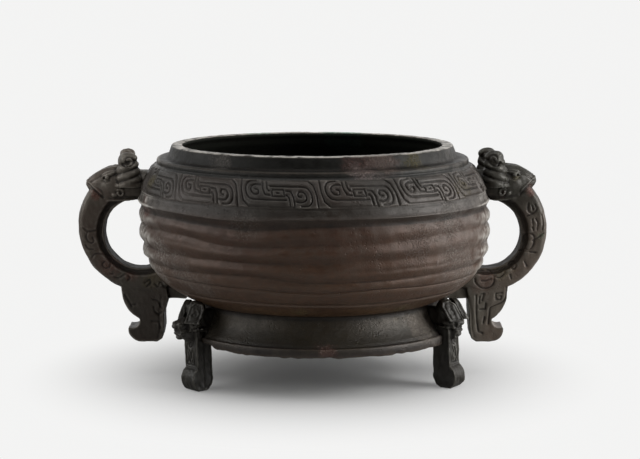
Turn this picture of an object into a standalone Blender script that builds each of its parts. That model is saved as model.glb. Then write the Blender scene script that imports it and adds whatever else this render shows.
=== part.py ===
"""Bronze gui, a ritual food vessel cast in one piece: a tiled bowl with a dragon band, two handles
with horned animal heads and pendants, a ring foot, and three short legs under animal masks.
Metres, +Z up, -Y the front. The origin is under the middle of the vessel, at the feet."""

import math

import bmesh
import bpy
from mathutils import Matrix, Vector

MM = 0.001

# Driving sizes
HEIGHT = 174.0 * MM
MOUTH_R = 103.9 * MM
LIP_INNER_R = 96.5 * MM
RING_R = 104.3 * MM
RING_BOTTOM = 32.0 * MM
RING_TOP = 39.1 * MM
RING_WALL = 4.0 * MM
TURN_STEPS = 40

# The casting slumped a little: the bowl's axis moves sideways as it rises.
AXIS_X = 1.7 * MM
LEAN = 0.032
LEAN_LEVEL = 114.0 * MM

# Where the foot's wall meets the bowl, and the incised lines and tile ribs above it
FOOT_TOP = (90.5 * MM, 59.3 * MM)
LINE_WIDTH = 1.5 * MM
LINE_DEPTH = 0.9 * MM
LOWER_LINE = (112.4 * MM, 71.5 * MM, 41.0)
UPPER_LINE = (120.7 * MM, 80.8 * MM, 51.0)
TILE_EDGES = (
    (124.8 * MM, 88.2 * MM, 2.0 * MM),
    (128.6 * MM, 102.7 * MM, 1.8 * MM),
    (129.7 * MM, 116.6 * MM, 1.1 * MM),
)
TILE_TOP = (129.4 * MM, 128.6 * MM)
RIDGE = (131.2 * MM, 133.7 * MM)
RIDGE_HALF = 1.0 * MM

# The dragon band lies between these two edges of the shoulder.
BAND_LOW = (128.2 * MM, 141.0 * MM)
BAND_HIGH = (117.4 * MM, 159.2 * MM)
BAND_BULGE = 1.3 * MM
BEAD_R = 114.3 * MM
BEAD_Z = 163.8 * MM
NECK_R = 105.6 * MM
NECK_Z = 167.8 * MM

# Inside the foot and inside the bowl: distance from the axis, height, and how far each wall bends
# out on its way to the next point
HOLLOW = ((0.0, 51.6), (86.4, 56.6), (89.0, 48.5))
HOLLOW_FLARE_Z = 38.6
BOWL_INSIDE = ((0.0, 56.0, 5.0), (99.0, 66.4, 4.6), (126.6, 106.0, 8.4), (102.0, 165.6, 0.0))
LIP_UNDER = (100.4, 169.2)
ABOVE_MOUTH = 6.0 * MM

# Dragon units: one S shape of two hooks, the same after half a turn about its middle
UNITS = 14
UNIT_SLANT = 0.12
BAND_TURN = 1.0
RELIEF = 1.0 * MM
SINK = 1.6 * MM
HOOK_WIDTH = 2.7 * MM
HOOK = (
    (-15.8, 12.2), (-16.2, 16.4), (-20.8, 17.4), (-24.4, 11.0), (-18.6, 3.2), (8.6, 3.0),
)
BAR = ((-11.4, 18.2), (-8.6, 8.6))
EYE = ((-3.4, 10.3), (3.4, 10.3))
EYE_WIDTH = 4.6 * MM

# Handles: two arcs bound the loop, seen from the side
HANDLE_HALF = 13.0 * MM
LOOP_OUTER = (126.6 * MM, 111.4 * MM, 48.6 * MM)
LOOP_INNER = (129.6 * MM, 107.2 * MM, 26.0 * MM)
LOOP_ANGLES = (48.0, -118.0)
LOOP_STEPS = 10
LOOP_SECTION = ((1.0, 8.5), (0.84, 13.0), (0.30, 12.4), (0.0, 7.5))
STRUT = ((96.0, 58.4), (122.0, 58.4), (122.0, 76.0), (96.0, 76.0))
STRUT_HALF = 10.0 * MM

# The pendant's outline from the loop down its outer side, with the bend of each stretch, then up
# its inner side
PENDANT_OUTER = (
    (138.0, 76.0, 0.0), (144.4, 68.0, 0.0), (143.8, 60.0, -2.4), (131.8, 43.4, 3.2), (140.4, 36.8, -3.2),
)
PENDANT_INNER = (
    (131.0, 25.9), (119.2, 25.9), (115.2, 28.4), (113.7, 35.0), (113.3, 48.0), (109.4, 59.0), (112.0, 76.0),
)
PENDANT_HALF = 12.4 * MM

# Handle heads: distance out, top, underside and half width of each section
HEAD_SECTIONS = (
    (108.0, 154.0, 135.0, 13.0),
    (128.0, 154.2, 132.4, 14.5),
    (137.0, 157.0, 132.2, 17.0),
    (146.0, 157.6, 132.6, 17.0),
    (153.5, 155.4, 132.8, 15.0),
    (159.0, 152.6, 134.6, 12.6),
    (163.4, 149.8, 138.8, 10.6),
    (167.0, 146.6, 143.4, 8.0),
)
HEAD_SECTION = ((0.55, 1.0), (1.0, 0.45), (1.0, -0.55), (0.6, -1.0))
HORN_FOOT = (134.6 * MM, 12.0 * MM, 143.0 * MM)
HORN_TIP = (134.0 * MM, 13.4 * MM, 169.0 * MM)
HORN_BASE_R = 9.4 * MM
HORN_TOP_R = 6.2 * MM
HORN_STEPS = (0.14, 0.86)
HORN_RINGS = 3
HORN_SIDES = 8
HEAD_EYE = (151.6 * MM, 148.4 * MM, 3.4 * MM)
HEAD_EYE_RISE = ((12.2, 1.0), (15.6, 1.0), (17.0, 0.55))
EYE_SIDES = 6

# Legs and their masks, in each leg's own plane: distance out from the foot's middle, height
LEG_TURNS = (-57.5, 64.0, 183.0)
LEG_HALF = 7.4 * MM
SHAFT_INNER = ((96.6, 37.0, 0.0), (96.6, 11.0, 2.4), (102.0, 0.0, 0.0))
SHAFT_OUTER = ((109.4, 0.0, 4.4), (109.2, 16.4, 0.0))
SHAFT_TOP = ((109.2, 46.0), (100.0, 46.0), (100.0, 37.0))
MASK = (
    (95.0, 43.4), (110.2, 43.4), (110.9, 49.0), (107.6, 54.0), (100.0, 58.6), (89.5, 58.6), (89.5, 52.0),
)
SNOUT_BROW = ((104.0, 55.0), (110.5, 54.6))
SNOUT_NOSE = ((-1.8, 50.6), (0.0, 46.4), (-1.4, 42.0))
SNOUT_JAW = ((111.6, 37.0), (108.6, 34.6), (104.0, 38.0))
SNOUT_REACH = (120.8 * MM, 116.0 * MM, 118.0 * MM)
MASK_HALF = 9.0 * MM
SNOUT_HALF = 5.4 * MM
EAR_SIZE = (9.4 * MM, 3.6 * MM, 16.5 * MM)
EAR_OUTLINE = ((-0.5, 0.0), (0.5, 0.0), (0.5, 0.82), (0.22, 1.0), (-0.3, 0.94), (-0.5, 0.74))
EAR_FOOT = (108.0 * MM, 7.4 * MM, 48.6 * MM)
EAR_TURN = 45.0
EAR_LEAN = 0.48


def clear_scene():
    for obj in list(bpy.data.objects):
        bpy.data.objects.remove(obj, do_unlink=True)


def bronze():
    material = bpy.data.materials.new("dark_bronze")
    material.use_nodes = True
    shader = material.node_tree.nodes["Principled BSDF"]
    shader.inputs["Base Color"].default_value = (0.055, 0.038, 0.031, 1.0)
    shader.inputs["Roughness"].default_value = 0.48
    shader.inputs["Metallic"].default_value = 0.75
    material.diffuse_color = (0.055, 0.038, 0.031, 1.0)
    return material


def arc(start, end, bulge, steps):
    """Points from start to end, without the end, on an arc that stands `bulge` off its chord to the
    right of the way from start to end. A negative bulge bends it to the left."""
    start, end = Vector(start), Vector(end)
    if steps == 1 or bulge == 0:
        return [tuple(start)]
    chord = end - start
    side = Vector((chord.y, -chord.x)).normalized()
    half = chord.length / 2
    radius = (half * half + bulge * bulge) / (2 * abs(bulge))
    sweep = math.asin(min(1.0, half / radius))
    points = []
    for step in range(steps):
        angle = sweep * (2 * step / steps - 1)
        along = radius * math.sin(angle)
        rise = radius * math.cos(angle) - (radius - abs(bulge))
        on_chord = start + chord / 2 + chord.normalized() * along
        points.append(tuple(on_chord + side * math.copysign(rise, bulge)))
    return points


def bent(outline, steps):
    """A path in metres through points given in mm, each with the bend of the stretch that follows it.
    The last point only ends the path, and is left out."""
    points = []
    for (x, z, bulge), after in zip(outline, outline[1:]):
        points += arc((x * MM, z * MM), (after[0] * MM, after[1] * MM), bulge * MM, steps)
    return points


def in_metres(outline):
    return [(x * MM, z * MM) for x, z in outline]


def incised_line(radius, height, slope):
    """Lower lip, bottom and upper lip of a line cut round the bowl, where its side climbs at `slope`
    degrees."""
    along = Vector((math.cos(math.radians(slope)), math.sin(math.radians(slope))))
    inward = Vector((-along.y, along.x))
    middle = Vector((radius, height))
    return [
        tuple(middle - along * LINE_WIDTH / 2),
        tuple(middle + inward * LINE_DEPTH),
        tuple(middle + along * LINE_WIDTH / 2),
    ]


def outer_profile():
    """The outside of the bowl and foot from the ring's underside up to the lip."""
    lower, upper = incised_line(*LOWER_LINE), incised_line(*UPPER_LINE)
    points = [(RING_R, RING_BOTTOM), (RING_R, RING_TOP)]
    points += arc((RING_R - 2.8 * MM, RING_TOP + 1.0 * MM), FOOT_TOP, -2.0 * MM, 3)
    points += arc(FOOT_TOP, lower[0], 0.9 * MM, 3)
    points += lower
    points += arc(lower[2], upper[0], 0.5 * MM, 2)[1:]
    points += upper
    points += arc(upper[2], TILE_EDGES[0][:2], 0.9 * MM, 2)[1:]
    edges = list(TILE_EDGES) + [TILE_TOP]
    for edge, above in zip(edges, edges[1:]):
        points += arc(edge[:2], above[:2], edge[2], 3)
    points += [TILE_TOP, (RIDGE[0] - 0.6 * MM, RIDGE[1] - RIDGE_HALF), RIDGE]
    points += [(RIDGE[0] - 1.2 * MM, RIDGE[1] + RIDGE_HALF)]
    points += arc(BAND_LOW, BAND_HIGH, BAND_BULGE, 3) + [BAND_HIGH]
    points += [(BEAD_R - 0.2 * MM, BEAD_Z - 2.3 * MM), (BEAD_R - 1.1 * MM, BEAD_Z - 1.4 * MM)]
    points += [(BEAD_R, BEAD_Z), (BEAD_R - 1.8 * MM, BEAD_Z + 1.5 * MM)]
    points += [(NECK_R + 3.0 * MM, NECK_Z - 1.6 * MM), (NECK_R, NECK_Z)]
    points += [(MOUTH_R, HEIGHT - 1.0 * MM), (MOUTH_R - 0.9 * MM, HEIGHT)]
    return points


def foot_hollow_profile():
    """From the middle of the bowl's underside out and down inside the ring foot."""
    inside_r = RING_R - RING_WALL
    return in_metres(HOLLOW) + [(inside_r, HOLLOW_FLARE_Z * MM), (inside_r, RING_BOTTOM)]


def cavity_profile():
    """Inside of the bowl from the middle of its floor up and out through the mouth."""
    points = bent(BOWL_INSIDE, 3) + in_metres([BOWL_INSIDE[-1][:2], LIP_UNDER])
    points += [(LIP_INNER_R, HEIGHT - 2.8 * MM), (LIP_INNER_R, HEIGHT - 0.9 * MM)]
    points += [(LIP_INNER_R + 0.8 * MM, HEIGHT), (LIP_INNER_R + 0.8 * MM, HEIGHT + ABOVE_MOUTH)]
    return points + [(0.0, HEIGHT + ABOVE_MOUTH)]


def leaning(point, axis_x=AXIS_X):
    """Moves a point of the upright vessel to where the slumped casting has it."""
    return Vector((point[0] + axis_x - LEAN * (point[2] - LEAN_LEVEL), point[1], point[2]))


def mesh_object(name, points, faces, material=None):
    mesh = bpy.data.meshes.new(name)
    mesh.from_pydata([tuple(point) for point in points], [], faces)
    shape = bmesh.new()
    shape.from_mesh(mesh)
    bmesh.ops.recalc_face_normals(shape, faces=shape.faces)
    shape.to_mesh(mesh)
    shape.free()
    obj = bpy.data.objects.new(name, mesh)
    bpy.context.scene.collection.objects.link(obj)
    if material:
        mesh.materials.append(material)
    return obj


def helper(obj):
    obj.hide_render = True
    obj.display_type = "WIRE"
    return obj


def turned(name, profile, material=None):
    """A closed solid of revolution. The profile starts and ends on the axis."""
    points, rings = [], []
    for radius, height in profile:
        first = len(points)
        count = 1 if radius == 0 else TURN_STEPS
        for step in range(count):
            angle = 2 * math.pi * step / TURN_STEPS
            points.append(leaning((radius * math.cos(angle), radius * math.sin(angle), height)))
        rings.append([first + step % count for step in range(TURN_STEPS)])
    faces = []
    for lower, upper in zip(rings, rings[1:]):
        for step in range(TURN_STEPS):
            after = (step + 1) % TURN_STEPS
            corners = [lower[step], lower[after], upper[after], upper[step]]
            faces.append(list(dict.fromkeys(corners)))
    return mesh_object(name, points, faces, material)


def skinned(name, sections):
    """A closed solid through matching rings of points, its two ends flat."""
    count = len(sections[0])
    points = [point for section in sections for point in section]
    faces = [list(range(count)), [len(points) - 1 - index for index in range(count)]]
    for ring in range(len(sections) - 1):
        low, high = ring * count, (ring + 1) * count
        for side in range(count):
            after = (side + 1) % count
            faces.append([low + side, low + after, high + after, high + side])
    return mesh_object(name, points, faces)


def joined(name, shapes):
    """One helper object that holds several closed shapes that don't touch each other."""
    shape = bmesh.new()
    for obj in shapes:
        shape.from_mesh(obj.data)
        bpy.data.objects.remove(obj)
    mesh = bpy.data.meshes.new(name)
    shape.to_mesh(mesh)
    shape.free()
    obj = bpy.data.objects.new(name, mesh)
    bpy.context.scene.collection.objects.link(obj)
    return helper(obj)


def moved(obj, move):
    """Applies move, a function from point to point, to every corner of a shape."""
    for vertex in obj.data.vertices:
        vertex.co = move(vertex.co)
    shape = bmesh.new()
    shape.from_mesh(obj.data)
    bmesh.ops.recalc_face_normals(shape, faces=shape.faces)
    shape.to_mesh(obj.data)
    shape.free()
    return obj


def plate(name, outline, half, chamfer):
    """An outline in the XZ plane made a slab, its two rims chamfered."""
    points = [(x, -half, z) for x, z in outline]
    obj = mesh_object(name, points, [list(range(len(points)))])
    shape = bmesh.new()
    shape.from_mesh(obj.data)
    grown = bmesh.ops.extrude_face_region(shape, geom=list(shape.faces))
    top = [item for item in grown["geom"] if isinstance(item, bmesh.types.BMVert)]
    bmesh.ops.translate(shape, verts=top, vec=(0, 2 * half, 0))
    rims = [edge for edge in shape.edges if abs(edge.verts[0].co.y - edge.verts[1].co.y) < half]
    bmesh.ops.bevel(shape, geom=rims, offset=chamfer, segments=1, affect="EDGES")
    bmesh.ops.recalc_face_normals(shape, faces=shape.faces)
    shape.to_mesh(obj.data)
    shape.free()
    return obj


def fuse(target, other, operation="UNION"):
    modifier = target.modifiers.new(other.name, "BOOLEAN")
    modifier.operation = operation
    modifier.solver = "EXACT"
    modifier.object = helper(other)


# ---------------------------------------------------------------- dragon band


def on_band(along, up, lift):
    """A point of the shoulder: `along` metres round it from the front, `up` metres above the band's
    lower edge and `lift` metres off its surface."""
    low, high = Vector(BAND_LOW), Vector(BAND_HIGH)
    way = high - low
    share = up / way.length
    out = Vector((way.y, -way.x)).normalized()
    bulge = BAND_BULGE * (1 - (2 * share - 1) ** 2)
    place = low + way * share + out * (bulge + lift)
    middle_r = (low.x + high.x) / 2
    angle = (along - UNIT_SLANT * up) / middle_r + math.radians(BAND_TURN - 90)
    return leaning((place.x * math.cos(angle), place.x * math.sin(angle), place.y))


def ribbon(name, path, width, centre):
    """A raised strip of even width along a path in the band's own flat coordinates."""
    path = [Vector(point) for point in path]
    sections = []
    for index, point in enumerate(path):
        before, after = path[max(index - 1, 0)], path[min(index + 1, len(path) - 1)]
        way = (after - before).normalized()
        side = Vector((-way.y, way.x)) * width / 2
        left, right = point + side, point - side
        sections.append([
            on_band(centre + left.x, left.y, -SINK),
            on_band(centre + left.x, left.y, RELIEF),
            on_band(centre + right.x, right.y, RELIEF),
            on_band(centre + right.x, right.y, -SINK),
        ])
    return skinned(name, sections)


def dragon_band():
    """All the units but the two that the handles' heads cover."""
    low, high = Vector(BAND_LOW), Vector(BAND_HIGH)
    pitch = math.pi * (low.x + high.x) / UNITS
    middle_up = (high - low).length / 2
    shapes = []
    for unit in range(UNITS):
        centre = (unit + 0.5) * pitch
        turn = 360 * (unit + 0.5) / UNITS
        if min(abs(turn - 90), abs(turn - 270)) < 5:
            continue
        for path, width in ((HOOK, HOOK_WIDTH), (BAR, HOOK_WIDTH * 0.8)):
            placed = [(x * MM, z * MM) for x, z in path]
            opposite = [(-x, 2 * middle_up - z) for x, z in placed]
            shapes.append(ribbon("hook", placed, width, centre))
            shapes.append(ribbon("hook", opposite, width, centre))
        shapes.append(ribbon("eye", [(x * MM, z * MM) for x, z in EYE], EYE_WIDTH, centre))
    return joined("dragon_band", shapes)


# ---------------------------------------------------------------- handles


def handle_loop():
    sections = []
    first, last = LOOP_ANGLES
    for step in range(LOOP_STEPS + 1):
        angle = math.radians(first + (last - first) * step / LOOP_STEPS)
        way = Vector((math.cos(angle), math.sin(angle)))
        outer = Vector(LOOP_OUTER[:2]) + way * LOOP_OUTER[2]
        inner = Vector(LOOP_INNER[:2]) + way * LOOP_INNER[2]
        section = []
        for share, half in LOOP_SECTION:
            place = inner.lerp(outer, share)
            section.append((place.x, -half * MM, place.y))
        section += [(x, -y, z) for x, y, z in reversed(section)]
        sections.append(section)
    return skinned("loop", sections)


def handle_pendant():
    """The tail that hangs under the loop, with its hook outwards."""
    outline = bent(PENDANT_OUTER + (PENDANT_INNER[0] + (0.0,),), 4) + in_metres(PENDANT_INNER)
    return plate("pendant", outline, PENDANT_HALF, 1.4 * MM)


def handle_strut():
    return plate("strut", in_metres(STRUT), STRUT_HALF, 1.2 * MM)


def handle_head():
    sections = []
    for out, top, under, half in HEAD_SECTIONS:
        middle, rise = (top + under) / 2, (top - under) / 2
        section = []
        for across, up in HEAD_SECTION:
            section.append((out * MM, across * half * MM, (middle + up * rise) * MM))
        section += [(x, -y, z) for x, y, z in reversed(section)]
        sections.append(section)
    return skinned("head", sections)


def horn(side):
    """A bottle horn: stepped rings that narrow to a round cap."""
    foot = Vector((HORN_FOOT[0], side * HORN_FOOT[1], HORN_FOOT[2]))
    tip = Vector((HORN_TIP[0], side * HORN_TIP[1], HORN_TIP[2]))
    length = (tip - foot).length
    levels = [(0.0, HORN_BASE_R * 0.8)]
    lowest, highest = HORN_STEPS
    for ring in range(HORN_RINGS):
        low = lowest + (highest - lowest) * ring / HORN_RINGS
        high = lowest + (highest - lowest) * (ring + 1) / HORN_RINGS
        radius = HORN_BASE_R + (HORN_TOP_R - HORN_BASE_R) * ring / (HORN_RINGS - 1)
        levels += [(low + 0.01, radius), (high - 0.01, radius * 0.86)]
    levels += [(0.88, HORN_TOP_R * 0.9), (1.0, HORN_TOP_R * 0.5)]
    turn = (tip - foot).to_track_quat("Z", "Y").to_matrix()
    sections = []
    for share, radius in levels:
        ring = []
        for step in range(HORN_SIDES):
            angle = 2 * math.pi * step / HORN_SIDES
            spot = Vector((radius * math.cos(angle), radius * math.sin(angle), share * length))
            ring.append(tuple(foot + turn @ spot))
        sections.append(ring)
    return skinned("horn", sections)


def handle_eye(side):
    out, up, radius = HEAD_EYE
    sections = []
    for across, share in HEAD_EYE_RISE:
        ring = []
        for step in range(EYE_SIDES):
            angle = 2 * math.pi * step / EYE_SIDES
            x = out + radius * share * math.cos(angle)
            z = up + radius * share * math.sin(angle)
            ring.append((x, side * across * MM, z))
        sections.append(ring)
    return skinned("eye", sections)


def handle_shapes():
    return [
        handle_loop(), handle_pendant(), handle_strut(), handle_head(),
        horn(-1), horn(1), handle_eye(-1), handle_eye(1),
    ]


# ---------------------------------------------------------------- legs


def leg_shaft():
    """Side view: rounded heel inwards, flat sole, a curl outwards, and a straight front."""
    outline = bent(SHAFT_INNER, 3) + in_metres([SHAFT_INNER[-1][:2]])
    outline += bent(SHAFT_OUTER, 4) + in_metres([SHAFT_OUTER[-1][:2]])
    return plate("shaft", outline + in_metres(SHAFT_TOP), LEG_HALF, 0.9 * MM)


def leg_mask():
    return plate("mask", in_metres(MASK), MASK_HALF, 1.3 * MM)


def leg_snout(reach):
    nose = [(reach + x * MM, z * MM) for x, z in SNOUT_NOSE]
    return plate("snout", in_metres(SNOUT_BROW) + nose + in_metres(SNOUT_JAW), SNOUT_HALF, 1.2 * MM)


def leg_ear(side):
    """A slab that looks out and sideways and lies back against the bowl."""
    width, thick, tall = EAR_SIZE
    outline = [(across * width, up * tall) for across, up in EAR_OUTLINE]
    ear = plate("ear", outline, thick / 2, 0.6 * MM)
    turn = Matrix.Rotation(math.radians(-side * EAR_TURN), 3, "Z")

    def place(point):
        spot = turn @ Vector(point)
        return Vector((
            spot.x + EAR_FOOT[0] - EAR_LEAN * point[2],
            spot.y + side * EAR_FOOT[1],
            point[2] + EAR_FOOT[2],
        ))

    return moved(ear, place)


def leg_shapes(reach):
    return [leg_shaft(), leg_mask(), leg_snout(reach), leg_ear(-1), leg_ear(1)]


def add_legs(vessel):
    for turn, reach in zip(LEG_TURNS, SNOUT_REACH):
        spin = Matrix.Rotation(math.radians(turn - 90), 3, "Z")
        for shape in leg_shapes(reach):
            fuse(vessel, moved(shape, lambda point, spin=spin: leaning(spin @ Vector(point))))


def add_handles(vessel):
    for side in (1, -1):

        def place(point, side=side):
            return leaning((side * point[0], point[1], point[2]), 0.0)

        for shape in handle_shapes():
            fuse(vessel, moved(shape, place))


def main():
    clear_scene()
    profile = foot_hollow_profile() + outer_profile() + [(0.0, HEIGHT)]
    vessel = turned("gui_vessel", profile, bronze())
    add_legs(vessel)
    add_handles(vessel)
    fuse(vessel, dragon_band())
    fuse(vessel, turned("cavity", cavity_profile()), "DIFFERENCE")


main()
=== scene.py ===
"""A bronze gui, a ritual food vessel cast in one: the tiled bowl with its foot, the dragon band round the
shoulder, two handles with horned heads and pendants, and three legs under animal masks. Everything is in
metres, +Z up, with -Y the front. Side views of a handle or a leg are given in mm, as distance out and
height."""

import math

import bmesh
import bpy
import numpy as np
from mathutils import Matrix, Vector


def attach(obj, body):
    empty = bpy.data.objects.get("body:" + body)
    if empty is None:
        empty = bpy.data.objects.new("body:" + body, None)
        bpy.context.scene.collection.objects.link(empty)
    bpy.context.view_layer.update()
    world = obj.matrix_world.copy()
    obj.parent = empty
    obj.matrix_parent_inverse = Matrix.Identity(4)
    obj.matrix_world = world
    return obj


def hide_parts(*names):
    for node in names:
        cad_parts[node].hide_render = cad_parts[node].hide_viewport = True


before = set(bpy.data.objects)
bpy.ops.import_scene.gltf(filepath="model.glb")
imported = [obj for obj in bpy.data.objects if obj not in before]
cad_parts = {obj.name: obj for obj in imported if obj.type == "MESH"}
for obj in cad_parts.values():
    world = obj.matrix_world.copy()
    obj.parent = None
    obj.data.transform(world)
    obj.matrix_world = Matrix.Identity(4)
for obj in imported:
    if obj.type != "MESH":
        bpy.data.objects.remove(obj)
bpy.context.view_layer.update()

MM = 0.001
NODE = "gui_vessel"

# Main sizes, as cast
HEIGHT = 174.0
MOUTH_R = 103.9
LIP_INNER_R = 96.5
RING_R = 104.3
RING_BOTTOM = 32.0
RING_TOP = 39.1
RING_WALL = 4.0
AXIS_X = 1.7
LEAN = 0.032
LEAN_LEVEL = 114.0

# The wall's outside: foot, incised lines, tile ribs with the bulge of each, shoulder, bead, neck
FOOT_TOP = (90.5, 59.3)
LINE_WIDTH = 1.5
LINE_DEPTH = 0.9
LOWER_LINE = (112.4, 71.5, 41.0)
UPPER_LINE = (120.7, 80.8, 51.0)
TILE_EDGES = ((124.8, 88.2, 2.0), (128.6, 102.7, 1.8), (129.7, 116.6, 1.1))
TILE_TOP = (129.4, 128.6)
BAND_LOW = (128.2, 141.0)
BAND_HIGH = (117.4, 159.2)
BAND_BULGE = 1.3
BEAD = (116.0, 162.0)
NECK = (107.5, 165.2)
RIB_CUT = 1.0
OUTER_MOST = 131.12
# What the ribs' unevenness reaches: beyond this radius, between these heights
OUTSIDE_R = 103
RIBS_LOW = 58
RIBS_HIGH = 139
# How finely the pieces are meshed: steps round the bowl, and the grain of the handles' and legs' skin
BOWL_STEPS = 500
HANDLE_GRAIN = 0.55
LEG_GRAIN = 0.45
# The hollow, in metres: the heights between which its floor and wall lie, and how far out the floor goes
FLOOR_LOW = 0.0555
FLOOR_HIGH = 0.085
FLOOR_MIDDLE = 0.08
FLOOR_R = 0.103
HOLLOW_TOP = 0.1732
# The turns from the front, and for each height on the wall how far its grooves wander up at those turns. The
# back mirrors the front
RISE_TURNS = (-90.0, -50.0, -24.0, 0.0, 20.0, 43.0, 90.0)
RISES = (
    (60.0, (0.0, 0.0, 0.0, 0.0, 0.0, 0.0, 0.0)), (71.5, (0.8, 0.0, 0.4, 0.0, -0.5, 0.3, 1.0)),
    (80.8, (1.8, 3.0, 2.2, 0.5, 2.2, 1.1, 1.8)), (88.2, (2.2, 3.0, 5.0, 1.0, 1.3, 3.4, 2.2)),
    (102.7, (0.0, -0.1, -0.1, 0.3, 1.9, 2.2, 0.9)), (116.6, (0.2, 1.5, -3.3, -1.0, -1.0, 2.0, 0.2)),
    (128.6, (0.0, -0.8, -3.0, -0.4, 0.0, 0.0, 0.0)), (134.0, (0.0, -0.4, -1.6, 0.0, 0.0, 0.0, 0.0)),
    (139.6, (0.0, 0.0, 0.0, 0.0, 0.0, 0.0, 0.0)),
)
# How steep the wall is at these heights: how far it rises while it goes out by 1
WALL_SLOPES = ((60, 71, 81, 92, 106, 114), (0.55, 0.87, 1.25, 3.0, 8.0, 60.0))
# Extra grooves cut by hand part of the way round: height, first and last turn, depth, width
SIDE_GROOVES = ((95.4, 8.0, 74.0, 0.5, 1.4), (111.0, -64.0, -34.0, 0.5, 1.4), (122.6, -34.0, -8.0, 0.3, 1.3))
# Between these turns, at the right of the front, the ribs are worn down by this share
WORN_FROM = 2.0
WORN_TO = 66.0
WORN_DOWN = 0.42

# Dragon band
UNITS = 14
BAND_TURN = 2.0
BAND_STEP = 0.371
BAND_RELIEF = 1.6
BAND_GROUND = -0.25
BAND_SINK = 0.75
BAND_MARGIN = 0.4
GROOVE = 0.5


# ---------------------------------------------------------------- making and moving meshes


def deselect():
    if bpy.context.mode != "OBJECT":
        bpy.ops.object.mode_set(mode="OBJECT")
    bpy.ops.object.select_all(action="DESELECT")


def only(obj):
    deselect()
    obj.select_set(True)
    bpy.context.view_layer.objects.active = obj


def named(name):
    obj = bpy.context.active_object
    obj.name = obj.data.name = name
    return obj


def corners(obj):
    places = np.empty(len(obj.data.vertices) * 3)
    obj.data.vertices.foreach_get("co", places)
    return places.reshape(-1, 3)


def place_corners(obj, places):
    obj.data.vertices.foreach_set("co", np.ascontiguousarray(places, np.float32).ravel())
    obj.data.update()


def outward(obj):
    ways = np.empty(len(obj.data.vertices) * 3, np.float32)
    obj.data.vertex_normals.foreach_get("vector", ways)
    return ways.reshape(-1, 3).astype(float)


def edge_ends(obj):
    ends = np.empty(len(obj.data.edges) * 2, np.int32)
    obj.data.edges.foreach_get("vertices", ends)
    return ends.reshape(-1, 2)


def blurred(values, ends, rounds, keep=0.4):
    """Values at the corners, each drawn towards the mean of its neighbours, `rounds` times."""
    values = values.reshape(len(values), -1).copy()
    count = len(values)
    both = np.concatenate([ends[:, 0], ends[:, 1]])
    other = np.concatenate([ends[:, 1], ends[:, 0]])
    met = np.maximum(np.bincount(both, minlength=count), 1)
    for _ in range(rounds):
        for axis in range(values.shape[1]):
            mean = np.bincount(both, weights=values[other, axis], minlength=count) / met
            values[:, axis] = values[:, axis] * keep + mean * (1 - keep)
    return values


def lumps(places, wave, seed, terms=7):
    """A smooth uneven field between about -1 and 1, with lumps about `wave` mm across."""
    rng = np.random.default_rng(seed)
    total = np.zeros(len(places))
    for _ in range(terms):
        way = rng.normal(size=3)
        way *= rng.uniform(0.7, 1.5) * math.pi / (wave * np.linalg.norm(way))
        total += np.sin(places @ way + rng.uniform(0, 2 * math.pi))
    return total / math.sqrt(terms)


def lean(places, axis_x=AXIS_X):
    """The slumped casting, in mm: the axis moves sideways as it rises."""
    moved = np.array(places, float)
    moved[:, 0] += axis_x - LEAN * (moved[:, 2] - LEAN_LEVEL)
    return moved


def turns(places):
    """Degrees round the vessel from the front, growing to the right."""
    return np.degrees(np.arctan2(places[:, 0], -places[:, 1]))


def fade(values, start, over):
    """0 up to `start`, rising evenly to 1 over the next `over`. A negative `over` runs downwards."""
    return np.clip((values - start) / over, 0, 1)


def eased_step(values, low, high):
    share = fade(values, low, high - low)
    return share * share * (3 - 2 * share)


def hump(values, middle, width, power=2):
    return np.exp(-(((values - middle) / width) ** power))


def swell(obj, amount):
    """Moves the skin out by `amount` mm at each corner, or in where that is negative."""
    place_corners(obj, corners(obj) + outward(obj) * amount[:, None])


def edit_all(obj, step, **settings):
    """One step of edit mode on the whole piece."""
    only(obj)
    bpy.ops.object.mode_set(mode="EDIT")
    bpy.ops.mesh.select_all(action="SELECT")
    step(**settings)
    bpy.ops.object.mode_set(mode="OBJECT")


def recalculate(obj):
    edit_all(obj, bpy.ops.mesh.normals_make_consistent, inside=False)


def edit_edges(obj, chosen):
    """Enters edit mode with just those edges selected whose two ends pass the test."""
    bpy.ops.object.mode_set(mode="EDIT")
    bpy.ops.mesh.select_all(action="DESELECT")
    shape = bmesh.from_edit_mesh(obj.data)
    for edge in shape.edges:
        edge.select = chosen(*edge.verts)
    bmesh.update_edit_mesh(obj.data)


def lofted(name, sections):
    """A closed solid through matching rings of points in mm: a filled ring, extruded from one to the next."""
    deselect()
    bpy.ops.mesh.primitive_circle_add(vertices=len(sections[0]), fill_type="NGON")
    obj = named(name)
    place_corners(obj, np.array(sections[0], float))
    bpy.ops.object.mode_set(mode="EDIT")
    bpy.ops.mesh.select_all(action="SELECT")
    last = [Vector(point) for point in sections[0]]
    for section in sections[1:]:
        bpy.ops.mesh.extrude_region_move()
        shape = bmesh.from_edit_mesh(obj.data)
        for corner in [vertex for vertex in shape.verts if vertex.select]:
            nearest = min(range(len(last)), key=lambda index: (last[index] - corner.co).length_squared)
            corner.co = section[nearest]
        last = [Vector(point) for point in section]
        bmesh.update_edit_mesh(obj.data)
    bpy.ops.object.mode_set(mode="OBJECT")
    recalculate(obj)
    return obj


def slab(name, outline, half, chamfer=1.2):
    """An outline of (out, height) in mm as a plate `half` thick each way from Y 0, with rounded rims."""
    obj = lofted(name, [[(x, y, z) for x, z in outline] for y in (-half, half)])
    edit_edges(obj, lambda start, end: abs(start.co.y - end.co.y) < half)
    bpy.ops.mesh.bevel(offset=chamfer, segments=3, affect="EDGES", clamp_overlap=True)
    bpy.ops.object.mode_set(mode="OBJECT")
    return obj


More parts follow.
